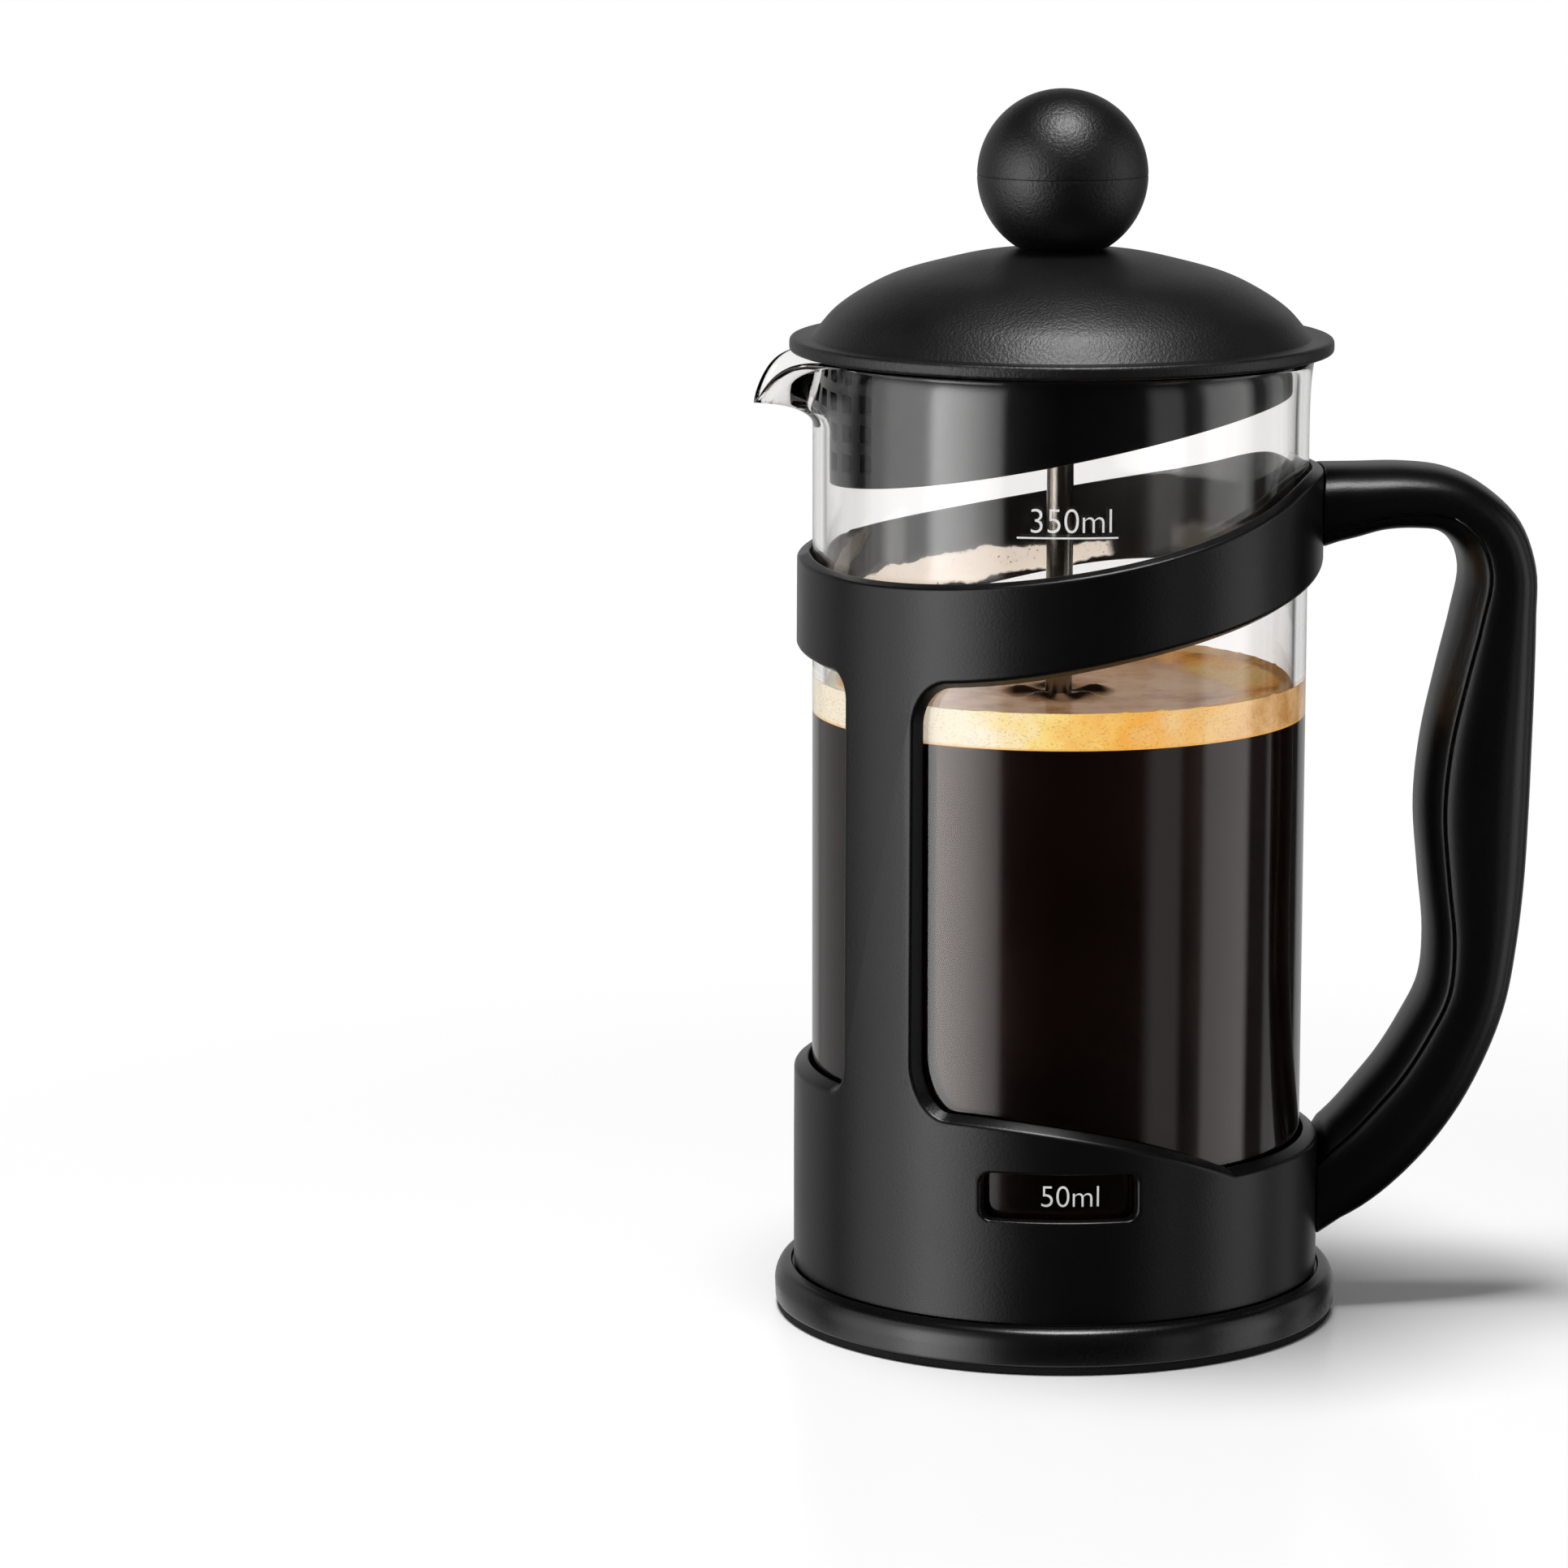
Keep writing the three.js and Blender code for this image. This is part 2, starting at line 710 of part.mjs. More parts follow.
function glassBeaker() {
  const angles = [];
  for (let i = 0; i < smallRoundSteps; i += 1) {
    angles.push(-spoutHalfAngle + (2 * spoutHalfAngle * i) / smallRoundSteps);
  }
  const rest = roundSteps - smallRoundSteps / 4;
  for (let i = 0; i < rest; i += 1) {
    angles.push(spoutHalfAngle + ((360 - 2 * spoutHalfAngle) * i) / rest);
  }
  const outerCorner = arc(
    glassRadius - glassCornerRadius, glassBottom + glassCornerRadius, glassCornerRadius, -90, 0, 3,
  );
  const innerCornerRadius = glassCornerRadius - glassWall;
  const innerCorner = arc(
    glassInnerRadius - innerCornerRadius, glassBottom + glassFloor + innerCornerRadius,
    innerCornerRadius, 0, -90, 2,
  );
  const lip = glassWall / 2;
  const rings = angles.map((angle) => {
    const outside = beakerWall(angle, glassRadius, glassTop - lip / 2);
    const inside = beakerWall(angle, glassInnerRadius, glassTop - lip / 2);
    const edge = outside[beakerWallSteps].clone().lerp(inside[beakerWallSteps], 0.5);
    edge.y += lip / 2;
    return [
      ...outerCorner.map(([radius, height]) => aroundAxis(angle, radius, height)),
      ...outside.map((point) => aroundAxis(angle, point.x, point.y)),
      aroundAxis(angle, edge.x, edge.y),
      ...inside.reverse().map((point) => aroundAxis(angle, point.x, point.y)),
      ...innerCorner.map(([radius, height]) => aroundAxis(angle, radius, height)),
      aroundAxis(angle, 0, glassBottom + glassFloor),
      aroundAxis(angle, 0, glassBottom),
    ];
  });
  return loft(rings);
}

// Lid: domed cover with a flat rim
function lidDome() {
  const landRadius = lidRadius - lidRimLand;
  const socket = skirtRadius + fitGap;
  const span = landRadius - domeSeatRadius;
  const outside = domeOutlineShares.map(([width, rise]) => [
    domeSeatRadius + width * span, lidRimTop + rise * domeRise,
  ]);
  const inside = domeOutlineShares.slice(0, -3).reverse().map(([width, rise]) => [
    Math.min(domeSeatRadius + width * span, socket), lidRimTop + rise * domeRise - domeWall,
  ]);
  const lowEdge = lidBottom + lidRimRadius;
  const highEdge = lidRimTop - lidRimRadius;
  return turned([
    [domeBoreRadius, domeTop],
    ...outside,
    ...arc(lidRadius - lidRimRadius, highEdge, lidRimRadius, 90, 0, 2),
    ...arc(lidRadius - lidRimRadius, lowEdge, lidRimRadius, 0, -90, 2),
    [socket, lidBottom],
    [socket, skirtTop + fitGap],
    ...inside,
    [domeBoreRadius, domeTop - domeWall],
    [domeBoreRadius, domeTop],
  ]);
}

// Strainer skirt: tucks into the lid, hangs deep at the spout and shallow at
// the handle, and has a recessed grille of square holes towards the spout
function lidSkirt() {
  const inner = skirtRadius - skirtWall;
  const lowest = lidBottom - skirtSpoutDepth;
  const wall = turned([
    [inner, lowest], [skirtRadius, lowest], [skirtRadius, skirtTop], [inner, skirtTop],
    [inner, lowest],
  ], roundSteps + smallRoundSteps);

  const slope = (skirtSpoutDepth - skirtHandleDepth) / (2 * skirtRadius);
  const size = 4 * skirtRadius;
  const wedge = new THREE.BoxGeometry(size, size, size);
  wedge.translate(0, 0, -size / 2);
  wedge.rotateY(-Math.atan(slope));
  wedge.translate(0, 0, lidBottom - (skirtSpoutDepth + skirtHandleDepth) / 2);

  const holeHeights = [];
  for (let row = 0; row < grilleRows; row += 1) {
    holeHeights.push(lowest + grilleSill + grilleHoleHeight / 2 + row * grilleRowPitch);
  }
  const tools = [wedge];
  const holes = [];
  for (let column = 0; column < grilleColumns; column += 1) {
    const angle = (column - (grilleColumns - 1) / 2) * grilleColumnAngle;
    for (const height of holeHeights) {
      const rise = slope * skirtRadius * (1 - Math.cos(radians(angle)));
      const hole = new THREE.BoxGeometry(4 * skirtWall, grilleHoleWidth, grilleHoleHeight);
      hole.translate(-skirtRadius, 0, height + rise);
      hole.rotateZ(radians(-angle));
      holes.push(hole);
    }
  }
  const panelEdge = (grilleColumns / 2) * grilleColumnAngle;
  const panelRings = [];
  for (let i = 0; i <= smallRoundSteps; i += 1) {
    const angle = -panelEdge + (2 * panelEdge * i) / smallRoundSteps;
    const rise = slope * skirtRadius * (1 - Math.cos(radians(angle)));
    const low = lowest + rise + grilleSill - grilleRecess;
    panelRings.push([
      aroundAxis(angle, skirtRadius - grilleRecess, low),
      aroundAxis(angle, skirtRadius + cutOverrun, low),
      aroundAxis(angle, skirtRadius + cutOverrun, lidBottom - fitGap),
      aroundAxis(angle, skirtRadius - grilleRecess, lidBottom - fitGap),
    ]);
  }
  const square = [[0, 0], [1, 0], [1, 1], [0, 1]].map(([x, y]) => new THREE.Vector2(x, y));
  tools.push(loft(panelRings, [square, square]), ...holes);
  return cut(wall, tools);
}

// Rod guide: a round bush that the lid carries and may turn about
function rodGuide() {
  const flangeTop = domeTop - domeWall - fitGap;
  return turned([
    [boreRadius, flangeTop - guideFlangeThickness],
    [guideFlangeRadius, flangeTop - guideFlangeThickness],
    [guideFlangeRadius, flangeTop],
    [guideRadius, flangeTop],
    [guideRadius, domeTop - fitGap],
    [boreRadius, domeTop - fitGap],
    [boreRadius, flangeTop - guideFlangeThickness],
  ], smallRoundSteps);
}

// Plunger rod from the knob's insert down into the hub
function plungerRod() {
  const top = knobBottom + insertHeight;
  const bottom = hubBottom + hubHeight * studShare + fitGap;
  return turned([
    [0, bottom], [rodRadius, bottom], [rodRadius, top - rodRadius / 2],
    [rodRadius / 2, top], [0, top],
  ], smallRoundSteps);
}

// Knob: a hollow upper half over a lower half that holds the threaded insert
function knobBase() {
  const seatRadius = Math.sqrt(knobRadius ** 2 - knobSeatDepth ** 2);
  const startAngle = -THREE.MathUtils.radToDeg(Math.asin(knobSeatDepth / knobRadius));
  const inner = knobRadius - knobWall;
  const pocket = insertRadius + fitGap;
  return turned([
    [boreRadius, knobBottom],
    [seatRadius, knobBottom],
    ...arc(0, knobCentre, knobRadius, startAngle, 0, knobArcSteps).slice(1),
    [inner + knobLipHeight, knobCentre],
    [inner + knobLipHeight / 2, knobCentre + knobLipHeight],
    [inner - knobLipHeight / 2, knobCentre + knobLipHeight],
    [inner - knobLipHeight / 2, knobCentre - knobLipHeight],
    [pocket + knobWall, knobCentre - knobLipHeight],
    [pocket, knobBottom + insertHeight],
    [pocket, knobBottom + knobLipHeight],
    [boreRadius, knobBottom + knobLipHeight],
    [boreRadius, knobBottom],
  ], knobSteps);
}

function knobCap() {
  const inner = knobRadius - knobWall;
  const seam = knobCentre + fitGap / 2;
  const lipClear = inner + knobLipHeight + fitGap;
  const seamAngle = THREE.MathUtils.radToDeg(Math.asin(fitGap / 2 / knobRadius));
  return turned([
    ...arc(0, knobCentre, knobRadius, seamAngle, 90, knobArcSteps),
    [0, knobCentre + inner],
    ...arc(0, knobCentre, inner, 90, 30, 4).slice(1),
    [lipClear - knobLipHeight / 2, knobCentre + knobLipHeight + fitGap],
    [lipClear, seam],
    [knobRadius * Math.cos(radians(seamAngle)), seam],
  ], knobSteps);
}

// Threaded insert in the knob
function knobInsert() {
  const bottom = knobBottom + knobLipHeight + fitGap;
  const top = knobBottom + insertHeight - fitGap;
  return turned([
    [boreRadius, bottom], [insertRadius, bottom], [insertRadius, top], [boreRadius, top],
    [boreRadius, bottom],
  ], 2 * insertFlats);
}

// Round holes on a circle about the axis. Their width is a share of the
// distance from one to the next.
function holeCircle(count, circle, holeShare, bottom, top, startAngle) {
  const radius = holeShare * circle * Math.sin(Math.PI / count);
  const holes = [];
  for (let i = 0; i < count; i += 1) {
    const hole = cylinder(radius, bottom, top);
    hole.translate(circle, 0, 0);
    hole.rotateZ(radians(startAngle + (360 * i) / count));
    holes.push(hole);
  }
  return holes;
}

// Filter tray: the lowest plate, with a flared rim
function filterTray() {
  const coneTop = filterHeight + trayConeHeight;
  const body = turned([
    [boreRadius, filterHeight],
    [trayFlatRadius, filterHeight],
    [trayRimRadius, coneTop],
    [trayRimRadius - trayThickness, coneTop + trayThickness / 2],
    [trayFlatRadius - trayThickness / 2, trayTop],
    [boreRadius, trayTop],
    [boreRadius, filterHeight],
  ]);
  const holes = holeCircle(
    trayHoleCount, trayFlatRadius * trayCircleShare, trayHoleShare,
    filterHeight - cutOverrun, trayTop + cutOverrun, 0,
  );
  return cut(body, holes);
}

// Slope of the tray's and the mesh's flared rims
const coneAngle = Math.atan2(trayConeHeight, trayRimRadius - trayFlatRadius);

// Filter mesh: a woven disc that flares up to wipe the glass
function filterMesh() {
  const foot = trayFlatRadius - trayThickness;
  const top = meshBottom + (meshRimRadius - foot) * Math.tan(coneAngle);
  return turned([
    [boreRadius, meshBottom],
    [foot, meshBottom],
    [meshRimRadius, top],
    [meshRimRadius - meshThickness, top + meshThickness],
    [foot - meshThickness / 2, meshTop],
    [boreRadius, meshTop],
    [boreRadius, meshBottom],
  ]);
}

// Pressure plate: two circles of holes, a raised cone and an upturned rim
function pressurePlate() {
  const rimRadius = plateFlatRadius + plateRimWidth;
  const coneTop = plateTop + plateConeHeight;
  const body = turned([
    [boreRadius, coneTop - plateThickness],
    [plateConeTop - plateThickness / 2, coneTop - plateThickness],
    [plateConeFoot - plateThickness / 2, plateBottom],
    [plateFlatRadius, plateBottom],
    [rimRadius, plateBottom + plateRimHeight],
    [rimRadius - plateThickness / 2, plateTop + plateRimHeight],
    [plateFlatRadius - plateThickness / 2, plateTop],
    [plateConeFoot, plateTop],
    [plateConeTop, coneTop],
    [boreRadius, coneTop],
    [boreRadius, coneTop - plateThickness],
  ]);
  const low = plateBottom - cutOverrun;
  const high = plateTop + cutOverrun;
  const halfPitch = 180 / plateHoleCount;
  const reach = 1 + largeHoleShare * Math.sin(Math.PI / plateHoleCount);
  const circle = (plateFlatRadius - plateEdgeWidth) / reach;
  return cut(body, [
    ...holeCircle(plateHoleCount, circle, largeHoleShare, low, high, 0),
    ...holeCircle(plateHoleCount, circle * smallCircleShare, smallHoleShare, low, high, halfPitch),
  ]);
}

// Edge spring: a coil laid in a ring on the mesh's flare, with two free ends
function springPoints() {
  const foot = trayFlatRadius - trayThickness;
  const reach = springCoilRadius + springWireRadius + fitGap;
  const along = springRingRadius - foot;
  const coneLift = (reach + along * Math.sin(coneAngle)) / Math.cos(coneAngle);
  const ringHeight = meshTop + coneLift;
  const steps = springCurls * springStepsPerCurl;
  const sweep = 360 - springEndGapAngle;
  const points = [];
  for (let i = 0; i <= steps; i += 1) {
    const turn = (2 * Math.PI * i) / springStepsPerCurl;
    const angle = radians(springEndGapAngle / 2 + (sweep * i) / steps);
    const radius = springRingRadius + springCoilRadius * Math.cos(turn);
    const height = ringHeight + springCoilRadius * Math.sin(turn);
    points.push(new THREE.Vector3(-radius * Math.cos(angle), radius * Math.sin(angle), height));
  }
  const lead = 2 * springWireRadius;
  const before = points[0].clone().sub(points[1]).setLength(lead).add(points[0]);
  const last = points[points.length - 1];
  const after = last.clone().sub(points[points.length - 2]).setLength(lead).add(last);
  return [before, ...points, after];
}

function edgeSpring() {
  const points = springPoints();
  const tangents = points.map((point, i) => {
    const next = points[Math.min(i + 1, points.length - 1)];
    const previous = points[Math.max(i - 1, 0)];
    return next.clone().sub(previous).normalize();
  });
  let side = new THREE.Vector3(0, 0, 1).cross(tangents[0]).normalize();
  const circle = [];
  for (let k = 0; k < springSides; k += 1) {
    const angle = (2 * Math.PI * k) / springSides;
    circle.push(new THREE.Vector2(Math.cos(angle), Math.sin(angle)));
  }
  const rings = points.map((point, i) => {
    const tangent = tangents[i];
    side = side.addScaledVector(tangent, -side.dot(tangent)).normalize();
    const up = tangent.clone().cross(side);
    return circle.map(({ x, y }) => point.clone()
      .addScaledVector(side, x * springWireRadius)
      .addScaledVector(up, y * springWireRadius));
  });
  return loft(rings, [circle, circle]);
}

// Least gap between curls of the spring, measured on its points
function springLeastGap() {
  const points = springPoints();
  let least = Infinity;
  for (let i = 0; i < points.length; i += 1) {
    for (let j = i + springStepsPerCurl / 2 + 1; j < points.length; j += 1) {
      least = Math.min(least, points[i].distanceTo(points[j]));
    }
  }
  return least - 2 * springWireRadius;
}

// Hub that screws the filter pack to the rod, with a facetted foot
function filterHub() {
  const top = hubTop;
  const waist = hubBottom + hubHeight / 2;
  const facetRadius = hubRadius / Math.cos(Math.PI / (2 * hubFacets));
  return turned([
    [boreRadius, hubBottom],
    [facetRadius, hubBottom],
    [facetRadius, waist],
    [hubRadius, waist + hubChamfer / 2],
    [hubRadius, top - hubChamfer],
    [hubSinkRadius + fitGap, top],
    [hubSinkRadius, top],
    [boreRadius, top - hubSinkDepth],
    [boreRadius, hubBottom],
  ], 2 * hubFacets);
}

function lockRing() {
  return turned([
    [boreRadius, lockRingBottom],
    [lockRingRadius, lockRingBottom],
    [lockRingRadius, lockRingBottom + lockRingHeight],
    [boreRadius, lockRingBottom + lockRingHeight],
    [boreRadius, lockRingBottom],
  ], smallRoundSteps);
}

// Threaded stud: its head holds the tray, its shaft screws up into the hub
function filterStud() {
  const headTop = filterHeight - fitGap;
  const top = hubBottom + hubHeight * studShare - fitGap;
  return turned([
    [0, headTop - studHeadHeight],
    [studHeadRadius, headTop - studHeadHeight],
    [studHeadRadius, headTop],
    [rodRadius, headTop],
    [rodRadius, top],
    [0, top],
  ], smallRoundSteps);
}

// Assembly
addMesh('base_pad', basePad(), 'rubber');
addMesh('foot_ring', footRing(), 'holderPlastic');
addMesh('holder_frame', holderFrame(), 'holderPlastic');
addMesh('handle_shell', handleShell(), 'holderPlastic');
addMesh('handle_strip', handleStrip(), 'holderPlastic');
const [upperScrewHeight, lowerScrewHeight] = screwHeights();
addMesh('handle_screw_upper', handleScrew(upperScrewHeight), 'steel');
addMesh('handle_screw_lower', handleScrew(lowerScrewHeight), 'steel');
addMesh('glass_beaker', glassBeaker(), 'glass');
addMesh('lid_dome', lidDome(), 'lidPlastic');
addMesh('lid_skirt', lidSkirt(), 'holderPlastic');
addMesh('rod_guide', rodGuide(), 'holderPlastic');
addMesh('knob_base', knobBase(), 'lidPlastic');
addMesh('knob_cap', knobCap(), 'lidPlastic');
addMesh('knob_insert', knobInsert(), 'steel');
addMesh('plunger_rod', plungerRod(), 'steel');
addMesh('filter_hub', filterHub(), 'hubSteel');
addMesh('lock_ring', lockRing(), 'hubSteel');
addMesh('filter_stud', filterStud(), 'steel');
addMesh('pressure_plate', pressurePlate(), 'steel');
addMesh('edge_spring', edgeSpring(), 'steel');
addMesh('filter_mesh', filterMesh(), 'meshSteel');
addMesh('filter_tray', filterTray(), 'steel');

console.log(`edge spring least gap ${springLeastGap().toFixed(2)} mm`);

export default group;
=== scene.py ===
"""Piston coffee press: the detailed pieces, their finishes and the studio."""

import math

import bpy
from bpy.props import FloatProperty, FloatVectorProperty, IntProperty, PointerProperty
from bpy.types import Operator, Panel, PropertyGroup
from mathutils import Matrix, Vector, noise
from mathutils.kdtree import KDTree


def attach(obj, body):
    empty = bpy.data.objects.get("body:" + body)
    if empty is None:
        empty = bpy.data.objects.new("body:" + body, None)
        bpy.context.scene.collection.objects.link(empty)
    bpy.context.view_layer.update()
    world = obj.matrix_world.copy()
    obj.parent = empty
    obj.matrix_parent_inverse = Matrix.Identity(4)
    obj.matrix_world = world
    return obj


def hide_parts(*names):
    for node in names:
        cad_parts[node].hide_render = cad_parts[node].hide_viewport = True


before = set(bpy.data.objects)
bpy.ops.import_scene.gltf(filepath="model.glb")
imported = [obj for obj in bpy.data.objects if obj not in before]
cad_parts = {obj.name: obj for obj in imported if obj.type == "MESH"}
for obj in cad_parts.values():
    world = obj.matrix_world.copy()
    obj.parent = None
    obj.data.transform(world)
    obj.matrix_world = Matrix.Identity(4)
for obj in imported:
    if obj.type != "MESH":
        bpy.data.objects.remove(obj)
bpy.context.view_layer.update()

bl_info = {
    "name": "Piston coffee press",
    "version": (1, 0, 0),
    "blender": (4, 5, 0),
    "location": "3D View > Sidebar > Press",
    "description": "Models the pieces of a piston coffee press and its studio",
    "category": "Object",
}

# All sizes are in millimetres unless a name says otherwise
MM = 0.001
MERGE = 0.002
SEAM_GAP = 0.005
FLAT_MERGE = 0.0005
RIM_STEP = 0.25
PANEL_LIMIT = 183

# Beaker
GLASS_RADIUS = 35.0
GLASS_WALL = 1.9
GLASS_INNER = GLASS_RADIUS - GLASS_WALL
GLASS_FLOOR = 2.5
GLASS_CORNER = 5.0
GLASS_BOTTOM = 10.8
GLASS_TOP = 137.8
RIM_FLARE = 0.7
RIM_FLARE_HEIGHT = 2.4
SPOUT_REACH = 8.4
SPOUT_HALF_ANGLE = 25.0
SPOUT_DROP = 6.3
SPOUT_DEPTH = 10.2
GUTTER_DEPTH = 7.2
SPOUT_SHARPNESS = 0.85
SPOUT_DROP_POWER = 4
BEAKER_STATIONS = 112

# Foot
PAD_RADIUS = 39.95
PAD_THICKNESS = 1.15
FOOT_RADIUS = 40.35
FOOT_SOCKET = 37.9
FOOT_LEDGE = 6.0
FOOT_BORE = 30.0
FOOT_SHOULDER = ((37.95, 6.55, 0.2), (39.45, 6.2, 1.3), (40.35, 4.4, 1.3))

# Holder
HOLDER_INNER = 35.45
CUP_RADIUS = 37.6
COLLAR_RADIUS = 37.1
CUP_BOTTOM = 6.3
CUP_FLOOR_TOP = 10.5
TAPER_START = 25.6
TAPER_END = 123.7
SPOUT_RIM = 35.3
FRONT_RIM = 34.4
HANDLE_RIM = 25.6
RIM_FALL = 8.8
RIM_FALL_START = 60.0
RIM_FALL_ANGLE = 65.0
COLLAR_LOW_TOP = 108.6
COLLAR_LOW_EDGE = 95.6
COLLAR_EDGE_ANGLE = 62.0
COLLAR_EDGE_SLOPE = 0.122
COLLAR_EDGE_BLEND = 2.8
SPOUT_EDGE_RISE = 0.8
SPOUT_EDGE_ANGLE = 45
FAR_TOP_LIFT = 1.3
FAR_EDGE_LIFT = 3.0
FAR_LIFT_ANGLES = (0.0, 34.0, 100.0, 158.0)
COLLAR_HIGH_TOP = 121.7
COLLAR_LOW_ANGLE = 32.0
COLLAR_RISE_ANGLE = 122.5
COLLAR_BLEND = 2.2
STRUT_START = 30.4
STRUT_END = 50.2
CUP_CORNER = (6.2, 8.6)
COLLAR_CORNER = (5.6, 6.4)
SPOUT_CORNER = (4.0, 4.0)
WINDOW_CHAMFER = 1.1
TOP_CHAMFER = 0.6
SLOT_ANGLE = -84.0
SLOT_SIZE = (22.2, 6.65)
SLOT_BOTTOM = 21.2
SLOT_CORNER = (1.5, 1.5)

# Handle
HANDLE_REACH = 30.9
HANDLE_TOP = 121.7
HANDLE_BOTTOM = 10.6
HANDLE_HALF_WIDTH = 9.0
STRIP_THICKNESS = 2.8
FIT_GAP = 0.3
SECTION_POWER = 2.6
HANDLE_STATIONS = 96
HANDLE_SHARES = (
    (-0.03, 0.895, -0.03, 1.0),
    (0.14, 0.906, 0.17, 1.0),
    (0.275, 0.916, 0.385, 1.0),
    (0.43, 0.918, 0.58, 0.993),
    (0.535, 0.914, 0.74, 0.973),
    (0.618, 0.895, 0.91, 0.929),
    (0.657, 0.861, 0.993, 0.868),
    (0.622, 0.804, 1.0, 0.8),
    (0.56, 0.733, 1.0, 0.719),
    (0.492, 0.643, 0.995, 0.638),
    (0.466, 0.557, 0.987, 0.548),
    (0.492, 0.467, 0.971, 0.454),
    (0.521, 0.386, 0.942, 0.377),
    (0.502, 0.323, 0.893, 0.298),
    (0.417, 0.274, 0.803, 0.227),
    (0.317, 0.229, 0.66, 0.152),
    (0.214, 0.193, 0.466, 0.085),
    (0.107, 0.158, 0.24, 0.032),
    (-0.03, 0.122, -0.03, -0.006),
)

# Lid and strainer skirt
LID_RADIUS = 38.3
LID_BOTTOM = 138.1
LID_RIM_TOP = 140.05
LID_LAND_RADIUS = 35.2
DOME_RISE = 12.3
DOME_SEAT_RADIUS = 6.3
DOME_BORE = 3.6
DOME_WALL = 1.8
DOME_STEPS = 42
DOME_SHARES = (
    (0.0, 1.0), (0.19, 0.95), (0.38, 0.85), (0.6, 0.7),
    (0.76, 0.515), (0.885, 0.31), (0.955, 0.13), (1.0, 0.0),
)
SKIRT_RADIUS = 32.6
SKIRT_WALL = 1.9
SKIRT_EDGE = 0.16
SKIRT_TOP = 140.25
SKIRT_LOWEST = 120.0
SKIRT_SLOPE = 0.205
GRILLE_ROWS = 4
GRILLE_COLUMNS = 8
GRILLE_HOLE = (2.8, 2.5)
HOLE_CORNER = (0.35, 0.35)
GRILLE_ROW_PITCH = 4.15
GRILLE_COLUMN_ANGLE = 8.4
GRILLE_SILL = 2.15
GRILLE_RECESS = 0.3

# Knob and rod
KNOB_RADIUS = 12.0
KNOB_BOTTOM = 152.45
KNOB_SEAM = 0.04
KNOB_CENTRE = 162.7504
KNOB_WALL = 3.2
KNOB_LIP = 1.6
ROD_RADIUS = 1.9
BORE_RADIUS = 2.2
INSERT_RADIUS = 3.7
ROD_TOP = 161.64
ROD_BOTTOM = 44.24

# Filter pack
HUB_BOTTOM = 38.9
HUB_TOP = 50.1
HUB_RADIUS = 4.45
HUB_SINK = 3.1
HUB_FLAT_DEPTH = 0.3
LOCK_RING = (37.5, 38.6, 4.9)
STUD_HEAD = (31.9, 32.7, 4.4)
STUD_TOP = 43.64
TRAY_BOTTOM = 33.0
TRAY_TOP = 33.6
TRAY_FLAT = 26.0
TRAY_RIM = 31.4
TRAY_CONE = 4.8
TRAY_HOLES = (6, 16.2, 5.6, 0.0)
MESH_BOTTOM = 33.9
MESH_TOP = 34.3
MESH_RIM = 32.8
MESH_FOOT = 25.4
PLATE_BOTTOM = 34.6
PLATE_TOP = 35.2
PLATE_FLAT = 22.7
PLATE_RIM = 24.8
PLATE_LIFT = 1.7
PLATE_CONE = (8.1, 5.3, 2.0)
PLATE_HOLES = ((12, 18.9, 3.4, 0.0), (12, 11.5, 2.25, 15.0))
SPRING_RING = 27.7
SPRING_COIL = 2.75
SPRING_WIRE = 0.28
SPRING_HEIGHT = 40.8
SPRING_END_GAP = 5.0

# Volume marks: name, words, plan angles of both ends, foot, share of the height, line
PRINT_LIFT = 0.02
PRINT_HALF_DEPTH = 0.01
PRINT_OFFSET = -0.011
LINE_HALF_HEIGHT = 0.13
VOLUME_MARKS = (
    ("mark_350", "350ml", -103.5, -85.4, 117.0, 1.0, (-106.6, -83.9, 116.3)),
    ("mark_50", "50ml", -100.0, -86.9, 22.8, 0.9, None),
)

# Foam: (radius, height over the foam level) pairs from the rod to the glass
FOAM_RISE = (
    *((radius, -1.75) for radius in (0.0, 1.0, 2.0, 2.6, 3.2, 4.0, 5.0, 6.0, 7.0, 8.0, 9.5)),
    *((11.0 + 1.1 * step, -1.7) for step in range(12)),
    (24.2, -1.62), (25.3, -1.42), (26.4, -1.12), (27.5, -0.8), (28.6, -0.5), (29.7, -0.26),
    (30.6, -0.1), (31.3, 0.0), (32.3, 0.1), (32.9, 0.35), (33.15, 0.7),
)
FOAM_CREEP = 0.7
FILM_HEIGHTS = (98.5, 108.0)
PETALS = 5
PETAL_RADIUS = 5.4
PETAL_WIDTH = 2.0
PETAL_HEIGHT = 0.7

# Waves on the foam as (height, scale, place in the noise), calmer near the rod
FOAM_WAVES = ((0.32, 0.35, 4.0), (0.14, 1.3, 9.0))
FOAM_CALM = 0.12
FOAM_CALM_RADIUS = 24

# Dried foam inside the beaker, in metres as its finish needs them
RESIDUE_LOW = 0.1019
RESIDUE_LOW_SLOPE = 0.15
RESIDUE_HIGH = 0.1053
RESIDUE_HIGH_SLOPE = 0.078

# Camera, as the photograph was taken
CAMERA_PLACE = (-0.10669, -0.86896, 0.23618)
CAMERA_PITCH = 79.62
CAMERA_TURN = -4.445
CAMERA_LENS_MM = 143.25
SENSOR_MM = 36.0
CAMERA_BEARING = -97.0
SKY_LIGHT = 0.08
FRONT_LIGHT = 1.5


